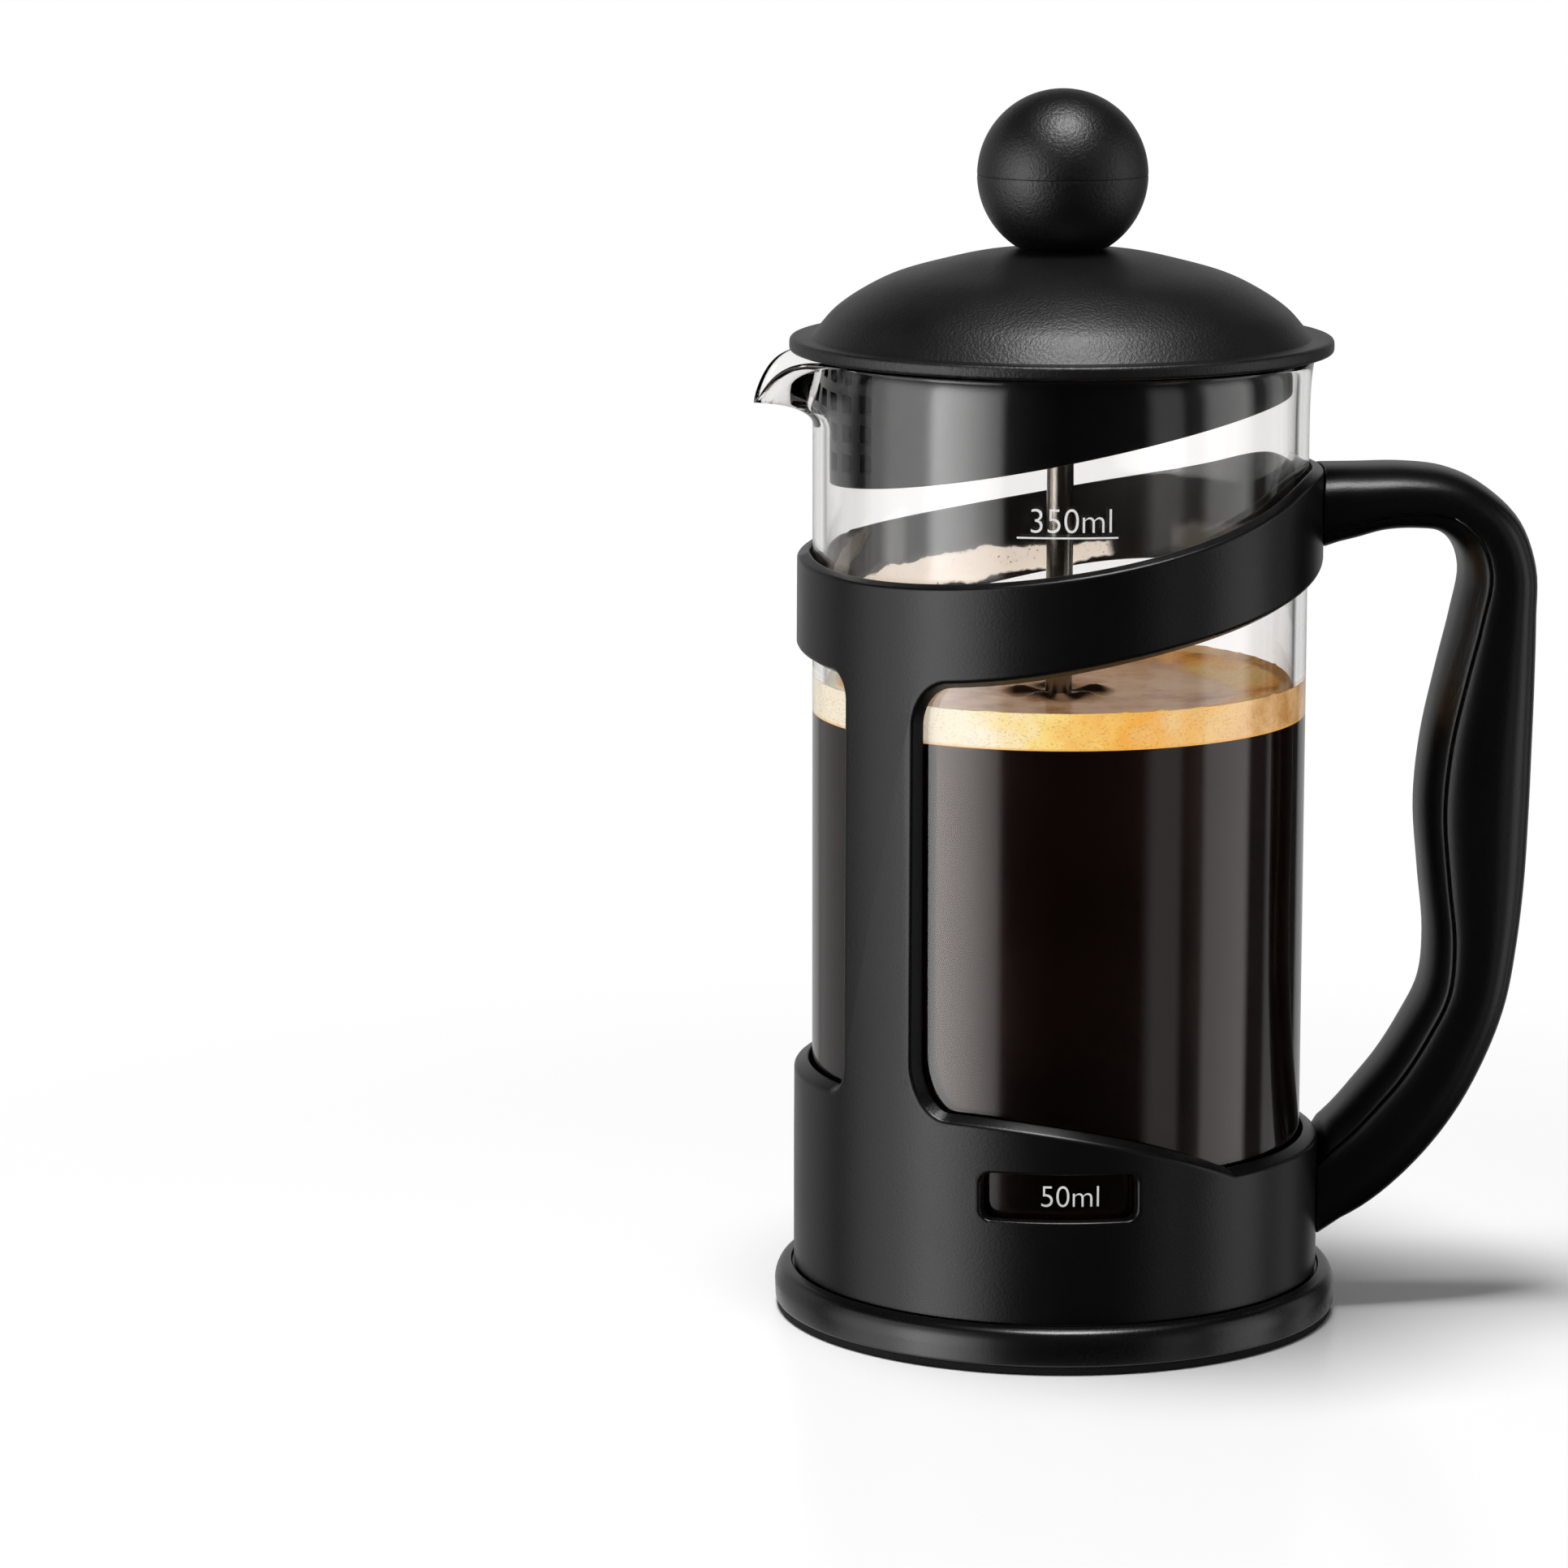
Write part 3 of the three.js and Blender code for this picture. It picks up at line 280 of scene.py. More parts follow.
class PressShape(PropertyGroup):
    """Sizes that can change without a change of the frame"""

    edge: FloatProperty(
        name="Edge rounding", description="Rounding of the holder's cut edges",
        default=0.00042, unit="LENGTH")
    seam: FloatProperty(
        name="Seam rounding", description="Rounding along the seams of handle and knob",
        default=0.00022, unit="LENGTH")
    coffee_level: FloatProperty(
        name="Coffee level", description="Height of the dark coffee over the table",
        default=0.0867, unit="LENGTH")
    foam_level: FloatProperty(
        name="Foam level", description="Height of the foam over the table",
        default=0.0912, unit="LENGTH")
    spring_curls: IntProperty(
        name="Spring curls", description="Number of curls of the edge spring",
        default=60, min=20, max=90)
    mark_height: FloatProperty(
        name="Mark height", description="Height of the digits of the volume marks",
        default=0.0033, unit="LENGTH")


COLOUR_SETTING = {"subtype": "COLOR", "size": 4, "min": 0, "max": 1}


class PressFinish(PropertyGroup):
    """Colours of the finishes"""

    plastic: FloatVectorProperty(
        name="Holder plastic", description="Colour of the satin plastic of holder and handle",
        default=(0.0024, 0.0024, 0.0025, 1), **COLOUR_SETTING)
    cover: FloatVectorProperty(
        name="Lid plastic", description="Colour of the grained plastic of lid and knob",
        default=(0.0024, 0.0024, 0.0025, 1), **COLOUR_SETTING)
    rubber: FloatVectorProperty(
        name="Pad rubber", description="Colour of the pad under the foot",
        default=(0.0024, 0.0024, 0.0024, 1), **COLOUR_SETTING)
    steel: FloatVectorProperty(
        name="Steel", description="Colour of the polished steel",
        default=(0.62, 0.59, 0.55, 1), **COLOUR_SETTING)
    warm_steel: FloatVectorProperty(
        name="Hub steel", description="Colour of the slightly bronze hub",
        default=(0.55, 0.5, 0.44, 1), **COLOUR_SETTING)
    coffee: FloatVectorProperty(
        name="Coffee", description="Colour of the coffee",
        default=(0.0045, 0.0016, 0.0009, 1), **COLOUR_SETTING)
    cream: FloatVectorProperty(
        name="Foam", description="Pale colour of the foam",
        default=(1.0, 0.88, 0.68, 1), **COLOUR_SETTING)
    crema: FloatVectorProperty(
        name="Dark foam", description="Orange brown colour of the foam",
        default=(0.92, 0.44, 0.075, 1), **COLOUR_SETTING)
    mark: FloatVectorProperty(
        name="Marks", description="Colour of the printed volume marks",
        default=(0.97, 0.97, 0.96, 1), **COLOUR_SETTING)


# ---------------------------------------------------------------- arithmetic


def mix(a, b, share):
    """The value a share of the way from a to b."""
    return a + (b - a) * share


def smooth_minimum(a, b, blend):
    """The lower of two values, with a rounded change from one to the other."""
    share = min(1, max(0, 0.5 + 0.5 * (b - a) / blend))
    return mix(b, a, share) - blend * share * (1 - share)


def folded(angle):
    """Angle from the spout, alike on both sides."""
    turn = angle % 360
    return 360 - turn if turn > 180 else turn


def around(angle, radius, height):
    """The point at an angle from the spout, towards +Y, in millimetres."""
    turn = math.radians(angle)
    return Vector((-radius * math.cos(turn), radius * math.sin(turn), height))


def flat_x(angle, radius=CUP_RADIUS):
    """Place on a flat panel of an angle from the spout."""
    return math.radians(angle) * radius


def curve_through(points, share):
    """A point on a smooth curve through points, as the frame's handle has."""
    spans = len(points) - 1
    place = share * spans
    index = min(int(place), spans - 1)
    weight = place - index
    second, third = points[index], points[index + 1]
    first = points[index - 1] if index else 2 * second - third
    fourth = points[index + 2] if index + 2 <= spans else 2 * third - second
    before, here, after = (math.sqrt(max((b - a).length, 1e-6)) for a, b in (
        (first, second), (second, third), (third, fourth)))
    leave = ((second - first) / before - (third - first) / (before + here)
             + (third - second) / here) * here
    arrive = ((third - second) / here - (fourth - second) / (here + after)
              + (fourth - third) / after) * here
    square, cube = weight ** 2, weight ** 3
    return (second * (2 * cube - 3 * square + 1) + third * (3 * square - 2 * cube)
            + leave * (cube - 2 * square + weight) + arrive * (cube - square))


def eased(share):
    """A share from 0 to 1 with soft ends."""
    share = min(1, max(0, share))
    return share * share * (3 - 2 * share)


def far_lift(angle):
    """Share of the lift that the collar has on the side away from the slot."""
    turn = angle % 360
    if turn > 180:
        return 0
    start, full, fall, end = FAR_LIFT_ANGLES
    return eased((turn - start) / (full - start)) * (1 - eased((turn - fall) / (end - fall)))


def collar_top(angle):
    """Height of the collar's sloping top edge."""
    share = (folded(angle) - COLLAR_LOW_ANGLE) / COLLAR_RISE_ANGLE
    slope = COLLAR_LOW_TOP + (COLLAR_HIGH_TOP - COLLAR_LOW_TOP) * share * share
    return smooth_minimum(slope + FAR_TOP_LIFT * far_lift(angle), COLLAR_HIGH_TOP, COLLAR_BLEND)


def collar_bottom(angle):
    """Height of the collar's lower edge."""
    turn = folded(angle)
    slope = COLLAR_LOW_EDGE + COLLAR_EDGE_SLOPE * (turn - COLLAR_EDGE_ANGLE)
    height = -smooth_minimum(-COLLAR_LOW_EDGE, -slope, COLLAR_EDGE_BLEND)
    at_spout = max(0, 1 - turn / SPOUT_EDGE_ANGLE)
    return height + SPOUT_EDGE_RISE * at_spout * at_spout + FAR_EDGE_LIFT * far_lift(angle)


def cup_rim(angle):
    """Height of the cup's rim below the windows."""
    share = max(0, (folded(angle) - RIM_FALL_START) / RIM_FALL_ANGLE)
    return max(FRONT_RIM - RIM_FALL * share * share, HANDLE_RIM)


def holder_radius(height):
    """Outside radius of the holder's wall at a height."""
    share = min(1, max(0, (height - TAPER_START) / (TAPER_END - TAPER_START)))
    return mix(CUP_RADIUS, COLLAR_RADIUS, share)


def softened(corners, steps=4):
    """Rounds the corners (radius, height, rounding) of a closed outline."""
    points = []
    for index, (radius, height, rounding) in enumerate(corners):
        here = Vector((radius, height))
        if not rounding:
            points.append(here)
            continue
        before = Vector(corners[index - 1][:2]) - here
        after = Vector(corners[(index + 1) % len(corners)][:2]) - here
        reach = min(rounding, 0.48 * before.length, 0.48 * after.length)
        start, end = here + before.normalized() * reach, here + after.normalized() * reach
        for step in range(steps + 1):
            share = step / steps
            points.append(start.lerp(here, share).lerp(here.lerp(end, share), share))
    return points


def arc(centre, radius, start, end, steps):
    """Points of a circle's part in the plane of radius and height."""
    angles = [math.radians(mix(start, end, step / steps)) for step in range(steps + 1)]
    return [Vector((centre[0] + radius * math.cos(a), centre[1] + radius * math.sin(a)))
            for a in angles]


# -------------------------------------------------------------- mesh helpers


def clear_selection():
    """Leaves edit mode and deselects everything."""
    if bpy.context.object and bpy.context.object.mode != "OBJECT":
        bpy.ops.object.mode_set(mode="OBJECT")
    bpy.ops.object.select_all(action="DESELECT")


def pick(piece):
    """Selects one piece and makes it active."""
    clear_selection()
    piece.select_set(True)
    bpy.context.view_layer.objects.active = piece
    return piece


def edit(piece):
    """Opens one piece in edit mode with all of it selected."""
    pick(piece)
    bpy.ops.object.mode_set(mode="EDIT")
    bpy.ops.mesh.select_all(action="SELECT")


def end_edit():
    """Goes back to object mode."""
    bpy.ops.object.mode_set(mode="OBJECT")


def named(name):
    """Names the new object and returns it."""
    piece = bpy.context.active_object
    piece.name = name
    return piece


def close_up(piece, threshold=MERGE * MM):
    """Merges doubles, drops loose edges and turns the faces outwards."""
    edit(piece)
    bpy.ops.mesh.remove_doubles(threshold=threshold)
    bpy.ops.mesh.delete_loose(use_verts=True, use_edges=True, use_faces=False)
    bpy.ops.mesh.select_all(action="SELECT")
    bpy.ops.mesh.normals_make_consistent(inside=False)
    end_edit()
    return piece


def turned(name, profile, steps=144, sweep=360.0):
    """Spins a closed outline of (radius, height) points about the Z axis."""
    clear_selection()
    bpy.ops.mesh.primitive_circle_add(vertices=len(profile), radius=1, fill_type="NOTHING")
    piece = named(name)
    for vertex, point in zip(piece.data.vertices, profile):
        radius, height = Vector(point)
        vertex.co = (radius * MM, 0, height * MM)
    edit(piece)
    if sweep < 360:
        bpy.ops.mesh.edge_face_add()
    bpy.ops.mesh.spin(steps=steps, angle=math.radians(sweep), center=(0, 0, 0), axis=(0, 0, 1))
    end_edit()
    return close_up(piece)


def lofted(name, rings, capped=False):
    """Lays a grid through closed rings of points and fills its open ends."""
    rows, columns = len(rings), len(rings[0]) + 1
    clear_selection()
    bpy.ops.mesh.primitive_grid_add(x_subdivisions=columns - 1, y_subdivisions=rows - 1, size=1)
    piece = named(name)
    for row, ring in enumerate(rings):
        for column in range(columns):
            piece.data.vertices[row * columns + column].co = ring[column % len(ring)] * MM
    close_up(piece)
    if capped:
        edit(piece)
        bpy.ops.mesh.select_all(action="DESELECT")
        bpy.ops.mesh.select_mode(type="EDGE")
        bpy.ops.mesh.select_non_manifold()
        bpy.ops.mesh.fill_holes(sides=0)
        bpy.ops.mesh.select_mode(type="VERT")
        close_up(piece)
    return piece


def polylines(name, dimensions, lines, cyclic):
    """A curve of straight stretches through the points of each line."""
    clear_selection()
    bpy.ops.curve.primitive_bezier_circle_add(radius=1)
    shape = named(name).data
    shape.dimensions = dimensions
    shape.splines.clear()
    for line in lines:
        spline = shape.splines.new("POLY")
        spline.points.add(len(line) - 1)
        for target, point in zip(spline.points, line):
            target.co = (*point, 1)
        spline.use_cyclic_u = cyclic
    shape.bevel_resolution = 2
    return shape


def wire(name, points, radius):
    """A round wire through points."""
    shape = polylines(name, "3D", [[point * MM for point in points]], False)
    shape.bevel_depth = radius * MM
    shape.use_fill_caps = True
    bpy.ops.object.convert(target="MESH")
    return close_up(bpy.context.active_object, radius * MM / 50)


def flat_panel(name, outlines, thickness, edge):
    """A flat plate with rounded edges, one unit to the millimetre.

    The first outline is its rim and the others are its holes.
    """
    shape = polylines(name, "2D", [[(*point[:2], 0) for point in line] for line in outlines], True)
    shape.fill_mode = "BOTH"
    shape.extrude = thickness / 2 - edge
    shape.bevel_depth = edge
    shape.offset = -edge
    bpy.ops.object.convert(target="MESH")
    return close_up(bpy.context.active_object, FLAT_MERGE)


def slice_flat(piece, places, end=None):
    """Cuts a flat panel along upright lines, and trims both ends with caps."""
    edit(piece)
    for place in places:
        bpy.ops.mesh.select_all(action="SELECT")
        bpy.ops.mesh.bisect(plane_co=(place, 0, 0), plane_no=(1, 0, 0), threshold=FLAT_MERGE)
    for side in (1, -1) if end else ():
        bpy.ops.mesh.select_all(action="SELECT")
        bpy.ops.mesh.bisect(
            plane_co=(side * end, 0, 0), plane_no=(side, 0, 0), clear_outer=True,
            use_fill=True, threshold=FLAT_MERGE)
    end_edit()


def rim_finder(outlines):
    """Finds the nearest rim point, its way out of the plate and its chamfer."""
    found = []
    for number, outline in enumerate(outlines):
        points = [Vector(point[:2]) for point in outline]
        area = sum(a.x * b.y - b.x * a.y for a, b in zip(points, points[1:] + points[:1]))
        outwards = 1 if (area > 0) == (number == 0) else -1
        count = len(points)
        ways = []
        for index in range(count):
            along = (points[(index + 1) % count] - points[index - 1]).normalized()
            ways.append(Vector((along.y, -along.x)) * outwards)
        for index in range(count):
            after = (index + 1) % count
            pieces = max(1, int((points[after] - points[index]).length / RIM_STEP))
            for step in range(pieces):
                share = step / pieces
                found.append((points[index].lerp(points[after], share),
                              ways[index].lerp(ways[after], share).normalized(),
                              mix(outline[index][2], outline[after][2], share)))
    tree = KDTree(len(found))
    for index, (point, _, _) in enumerate(found):
        tree.insert((point.x, point.y, 0), index)
    tree.balance()

    def nearest(place):
        _, index, distance = tree.find((place.x, place.y, 0))
        return distance, found[index][1], found[index][2]

    return nearest


def ring_of(name, outlines, chamfered, thickness, edge, inner, outer, map_radius):
    """A panel bent round the Z axis, whose chamfered outlines have sloping rims."""
    piece = flat_panel(name, outlines, thickness, edge)
    slice_flat(piece, [flat_x(angle, map_radius) for angle in range(-178, 180, 2)],
               flat_x(180, map_radius) - SEAM_GAP)
    nearest = rim_finder(chamfered)
    for vertex in piece.data.vertices:
        depth = vertex.co.z / thickness + 0.5
        distance, way, chamfer = nearest(vertex.co)
        place = Vector((vertex.co.x, vertex.co.y))
        if distance < edge * 1.3 and chamfer:
            place += way * chamfer * (1 - depth)
        radius = mix(inner, outer(place.y), depth)
        vertex.co = around(math.degrees(place.x / map_radius), radius, place.y) * MM
    return close_up(piece)


def apply_modifier(piece, kind, **settings):
    """Adds a modifier to the piece and applies it."""
    pick(piece)
    bpy.ops.object.modifier_add(type=kind)
    modifier = piece.modifiers[-1]
    for name, value in settings.items():
        setattr(modifier, name, value)
    bpy.ops.object.modifier_apply(modifier=modifier.name)


def join(first, *others):
    """Joins pieces into the first."""
    pick(first)
    for other in others:
        other.select_set(True)
    bpy.ops.object.join()
    return bpy.context.active_object


def carve(piece, tools):
    """Cuts tools out of a piece, removes them and fills the slits the cut leaves."""
    tool = join(*tools) if len(tools) > 1 else tools[0]
    apply_modifier(piece, "BOOLEAN", object=tool, operation="DIFFERENCE", solver="EXACT")
    bpy.data.objects.remove(tool, do_unlink=True)
    edit(piece)
    bpy.ops.mesh.fill_holes(sides=3)
    bpy.ops.mesh.normals_make_consistent(inside=False)
    end_edit()


def holes_round(count, circle, radius, start, low, high):
    """Upright cylinders on a circle about the Z axis, for cutting."""
    tools = []
    for index in range(count):
        turn = math.radians(start + 360 * index / count)
        clear_selection()
        bpy.ops.mesh.primitive_cylinder_add(
            vertices=40, radius=radius * MM, depth=(high - low) * MM,
            location=(circle * math.cos(turn) * MM, circle * math.sin(turn) * MM,
                      (low + high) / 2 * MM))
        tools.append(bpy.context.active_object)
        bpy.ops.object.transform_apply(location=True, rotation=True, scale=True)
    return tools


def put_on(piece, body, finish, node=None, smooth=40.0, weighted=True):
    """Shades a piece, gives it its finish and sets it on its body."""
    pick(piece)
    bpy.ops.object.shade_smooth_by_angle(angle=math.radians(smooth))
    if weighted:
        apply_modifier(piece, "WEIGHTED_NORMAL", keep_sharp=True, mode="FACE_AREA_WITH_ANGLE")
    piece.data.materials.clear()
    piece.data.materials.append(finish)
    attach(piece, body)
    if node:
        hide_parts(node)


# ------------------------------------------------------------ node materials

FLOAT, COLOUR, VECTOR = "NodeSocketFloat", "NodeSocketColor", "NodeSocketVector"
SURFACE_SOCKETS = {"Colour": COLOUR, "Roughness": FLOAT, "Normal": VECTOR}

# Colour, index of refraction, grain scale, relief, roughness, its change, change of tone
PLASTICS = {
    "press_satin_black": ("plastic", 1.4, 2600.0, 0.18, 0.31, 0.1, 0.25),
    "press_grained_black": ("cover", 1.5, 2300.0, 0.7, 0.4, 0.2, 0.5),
    "skirt_black": ("plastic", 1.28, 1800.0, 0.04, 0.33, 0.06, 0.25),
    "foot_black": ("plastic", 1.5, 2600.0, 0.1, 0.27, 0.1, 0.25),
    "pad_rubber": ("rubber", 1.3, 1500.0, 0.6, 0.75, 0.15, 0.25),
}
# Colour, its share, ring lines, long lines, relief, roughness, its change, change of tone
STEELS = {
    "rod_steel": ("warm_steel", 0.45, 2500.0, 5000.0, 0.1, 0.24, 0.12, 0.3),
    "press_polished_steel": ("steel", 1.0, 2500.0, 5000.0, 0.12, 0.14, 0.2, 0.3),
    "hub_steel": ("warm_steel", 1.0, 2500.0, 1500.0, 0.15, 0.17, 0.2, 0.3),
    "tray_steel": ("steel", 1.0, 7000.0, 600.0, 0.4, 0.3, 0.35, 0.5),
}
WIRE_PITCH_M = 0.00042
# Foam colours by the cloud of the bubbles, and tones of the dried foam
FOAM_BACK = ((0.34, (0.6, 0.21, 0.035)), (0.5, (1.0, 0.44, 0.09)), (0.66, (1.0, 0.64, 0.25)))
FOAM_MIDDLE = ((0.3, (0.5, 0.22, 0.1)), (0.5, (0.86, 0.5, 0.27)), (0.72, (1.0, 0.68, 0.42)))
RESIDUE_TONES = ((0.35, (0.34, 0.25, 0.18)), (0.6, (0.86, 0.76, 0.66)), (0.85, (1.0, 0.94, 0.87)))
# Both ends of soft changes: out from the rod, down from the foam's level, and along the glass
SPLASH_M = (0.0062, 0.0086)
FOAM_EDGE_M = (0.0245, 0.0285)
RIM_REACH_M = (0.0308, 0.0318)
RIM_BAND_M = (0.0036, 0.0026)
RESIDUE_END_M = (0.0105, 0.0118)
BLACK = (0.0, 0.0, 0.0, 1)


class Nodes:
    """A node tree that is being filled."""

    def __init__(self, tree):
        self.tree = tree

    def new(self, kind, inputs=None, **settings):
        """Adds a node, sets its inputs and links the sockets among them."""
        node = self.tree.nodes.new("ShaderNode" + kind)
        for name, value in settings.items():
            setattr(node, name, value)
        for key, value in (inputs or {}).items():
            if isinstance(value, bpy.types.NodeSocket):
                self.tree.links.new(value, node.inputs[key])
            else:
                node.inputs[key].default_value = value
        return node

    def math(self, operation, *values, clamp=False):
        """A Math node's result."""
        return self.new("Math", dict(enumerate(values)), operation=operation, use_clamp=clamp).outputs[0]

    def plus(self, first, second, clamp=False):
        """The sum of two values."""
        return self.math("ADD", first, second, clamp=clamp)

    def minus(self, first, second):
        """The difference of two values."""
        return self.math("SUBTRACT", first, second)

    def times(self, first, second):
        """The product of two values."""
        return self.math("MULTIPLY", first, second)

    def blend(self, factor, first, second, kind="MIX"):
        """A colour a factor of the way from the first to the second."""
        return self.new("Mix", {0: factor, 6: first, 7: second}, data_type="RGBA",
                        blend_type=kind).outputs[2]

    def choose(self, factor, first, second):
        """A value a factor of the way from the first to the second."""
        return self.new("Mix", {0: factor, 2: first, 3: second}).outputs[0]

    def spread(self, value, low, high, to_low=0.0, to_high=1.0):
        """A value mapped from one range to another, with soft ends."""
        return self.new(
            "MapRange", {"Value": value, "From Min": low, "From Max": high, "To Min": to_low,
                         "To Max": to_high}, interpolation_type="SMOOTHSTEP").outputs[0]

    def until(self, value, low, high):
        """One below a range and nought above it, with soft ends."""
        return self.minus(1.0, self.spread(value, low, high))

    def ramp(self, value, stops):
        """A colour ramp of (place, colour or grey) stops."""
        node = self.new("ValToRGB", {0: value})
        band = node.color_ramp.elements
        while len(band) > 1:
            band.remove(band[-1])
        for index, (place, shade) in enumerate(stops):
            element = band.new(place) if index else band[0]
            element.position = place
            element.color = (*(shade if isinstance(shade, tuple) else (shade,) * 3), 1)
        return node.outputs[0]

    def place(self):
        """The object coordinates."""
        return self.new("TexCoord").outputs["Object"]

    def parts(self, vector):
        """X, Y and Z of a vector."""
        return self.new("SeparateXYZ", {0: vector}).outputs

    def from_axis(self, parts):
        """The distance from the Z axis."""
        return self.math("SQRT", self.plus(self.times(parts[0], parts[0]),
                                           self.times(parts[1], parts[1])))

    def noise(self, vector, scale, detail, rough=0.5):
        """Soft noise about one half."""
        return self.new("TexNoise", {"Vector": vector, "Scale": scale, "Detail": detail,
                                     "Roughness": rough}).outputs["Fac"]

    def bump(self, height, strength, distance):
        """A normal that follows a height."""
        return self.new("Bump", {"Height": height, "Strength": strength,
                                 "Distance": distance}).outputs[0]

    def mixed(self, factor, first, second):
        """Two shaders mixed by a factor."""
        return self.new("MixShader", {0: factor, 1: first.outputs[0], 2: second.outputs[0]})

    def feed(self, shader, **values):
        """Links values to a shader's inputs."""
        for label, value in values.items():
            self.tree.links.new(value, shader.inputs[label.replace("_", " ")])

    def surface(self, shader):
        """Makes a shader the material's surface."""
        self.feed(self.tree.nodes["Material Output"], Surface=shader.outputs[0])


def group_of(name, inputs, outputs, fill):
    """A node group with named sockets, made once."""
    if name in bpy.data.node_groups:
        return bpy.data.node_groups[name]
    group = bpy.data.node_groups.new(name, "ShaderNodeTree")
    for label, default in inputs.items():
        kind = COLOUR if isinstance(default, tuple) else FLOAT
        socket = group.interface.new_socket(name=label, in_out="INPUT", socket_type=kind)
        socket.default_value = default
    for label, kind in outputs.items():
        group.interface.new_socket(name=label, in_out="OUTPUT", socket_type=kind)
    given = group.nodes.new("NodeGroupInput").outputs
    result = group.nodes.new("NodeGroupOutput").inputs
    for label, socket in fill(Nodes(group), given).items():
        group.links.new(socket, result[label])
    return group


def varied(nodes, given, change):
    """Colour and roughness that follow a change about nought."""
    rough = nodes.plus(given["Roughness"], nodes.times(change, given["Roughness Change"]), clamp=True)
    tint = nodes.plus(1.0, nodes.times(change, given["Tone Change"]))
    return {"Colour": nodes.blend(1.0, given["Colour"], tint, "MULTIPLY"), "Roughness": rough}


def grain_nodes(nodes, given):
    """Fine moulded grain with slow changes of sheen."""
    place = nodes.place()
    fine = nodes.noise(place, given["Grain Scale"], 3.0, 0.6)
    slow = nodes.noise(place, 55.0, 4.0, 0.55)
    change = nodes.plus(nodes.times(nodes.minus(fine, 0.5), 0.35), nodes.minus(slow, 0.5))
    return {**varied(nodes, given, change), "Normal": nodes.bump(fine, given["Relief"], 0.00012)}


def moulded_grain():
    """The grain of moulded plastic and rubber."""
    return group_of("moulded_grain", {
        "Colour": (0.02, 0.02, 0.02, 1), "Grain Scale": 3000.0, "Relief": 0.3, "Roughness": 0.4,
        "Roughness Change": 0.1, "Tone Change": 0.2}, SURFACE_SOCKETS, grain_nodes)


def brushed_nodes(nodes, given):
    """Fine lines that run round the axis or along it."""
    place = nodes.place()
    parts = nodes.parts(place)
    rings = nodes.new("CombineXYZ", {0: nodes.times(nodes.from_axis(parts), given["Ring Lines"]),
                                     1: nodes.times(parts[2], given["Ring Lines"])}).outputs[0]
    length = nodes.new("VectorMath", {0: place, 1: (1.0, 1.0, 0.02)}, operation="MULTIPLY").outputs[0]
    along = nodes.new("VectorMath", {0: length, "Scale": given["Long Lines"]},
                      operation="SCALE").outputs[0]
    both = nodes.plus(nodes.noise(rings, 1.0, 2.0), nodes.noise(along, 1.0, 2.0))
    lines = nodes.minus(nodes.times(both, 0.5), 0.5)
    return {**varied(nodes, given, lines), "Normal": nodes.bump(lines, given["Relief"], 0.00005)}


def brushed_lines():
    """The lines that drawing, turning and polishing leave in steel."""
    return group_of("brushed_lines", {
        "Colour": (0.6, 0.6, 0.6, 1), "Ring Lines": 4000.0, "Long Lines": 4000.0, "Relief": 0.2,
        "Roughness": 0.2, "Roughness Change": 0.2, "Tone Change": 0.2}, SURFACE_SOCKETS, brushed_nodes)


def bubble_nodes(nodes, given):
    """Small bubbles: cells of two sizes over a soft cloud."""
    place = nodes.place()

    def cells(scale):
        return nodes.new("TexVoronoi", {"Vector": place, "Scale": scale, "Randomness": 1.0},
                         feature="F1").outputs["Distance"]

    small, large = cells(given["Bubble Scale"]), cells(nodes.times(given["Bubble Scale"], 0.42))
    cloud = nodes.noise(place, given["Cloud Scale"], 5.0, 0.62)
    pits = nodes.times(nodes.spread(small, 0.0, 0.42), nodes.spread(large, 0.05, 0.28))
    height = nodes.plus(nodes.times(pits, 0.6), nodes.times(cloud, 0.8))
    return {"Pits": pits, "Cloud": cloud, "Height": height}


def foam_bubbles(nodes, bubble_scale, cloud_scale):
    """Pits, cloud and height of foam."""
    group = group_of("foam_bubbles", {"Bubble Scale": 1400.0, "Cloud Scale": 120.0},
                     {"Pits": FLOAT, "Cloud": FLOAT, "Height": FLOAT}, bubble_nodes)
    return nodes.new("Group", {"Bubble Scale": bubble_scale, "Cloud Scale": cloud_scale},
                     node_tree=group).outputs


def new_finish(name, **sockets):
    """A material with its Principled shader, whose plain values are set."""
    if name in bpy.data.materials:
        return bpy.data.materials[name], None, None
    finish = bpy.data.materials.new(name)
    finish.use_nodes = True
    shader = finish.node_tree.nodes["Principled BSDF"]
    for label, value in sockets.items():
        shader.inputs[label.replace("_", " ")].default_value = value
    return finish, Nodes(finish.node_tree), shader


def grouped_finish(name, group, values, **sockets):
    """A material whose colour, roughness and normal come from a group."""
    finish, nodes, shader = new_finish(name, **sockets)
    if nodes:
        surface = nodes.new("Group", values, node_tree=group).outputs
        nodes.feed(shader, Base_Color=surface["Colour"], Roughness=surface["Roughness"],
                   Normal=surface["Normal"])
    return finish


def plastic(name, look):
    """A moulded plastic or rubber."""
    colour, ior, *values = PLASTICS[name]
    labels = ("Grain Scale", "Relief", "Roughness", "Roughness Change", "Tone Change")
    return grouped_finish(name, moulded_grain(), {
        "Colour": getattr(look, colour), **dict(zip(labels, values))}, IOR=ior)


def steel(name, look):
    """A steel with the lines of its making."""
    colour, share, *values = STEELS[name]
    labels = ("Ring Lines", "Long Lines", "Relief", "Roughness", "Roughness Change", "Tone Change")
    return grouped_finish(name, brushed_lines(), {
        "Colour": shaded(getattr(look, colour), share), **dict(zip(labels, values))}, Metallic=1.0)


def shaded(colour, share):
    """A darker colour."""
    return (*(share * part for part in colour[:3]), 1)


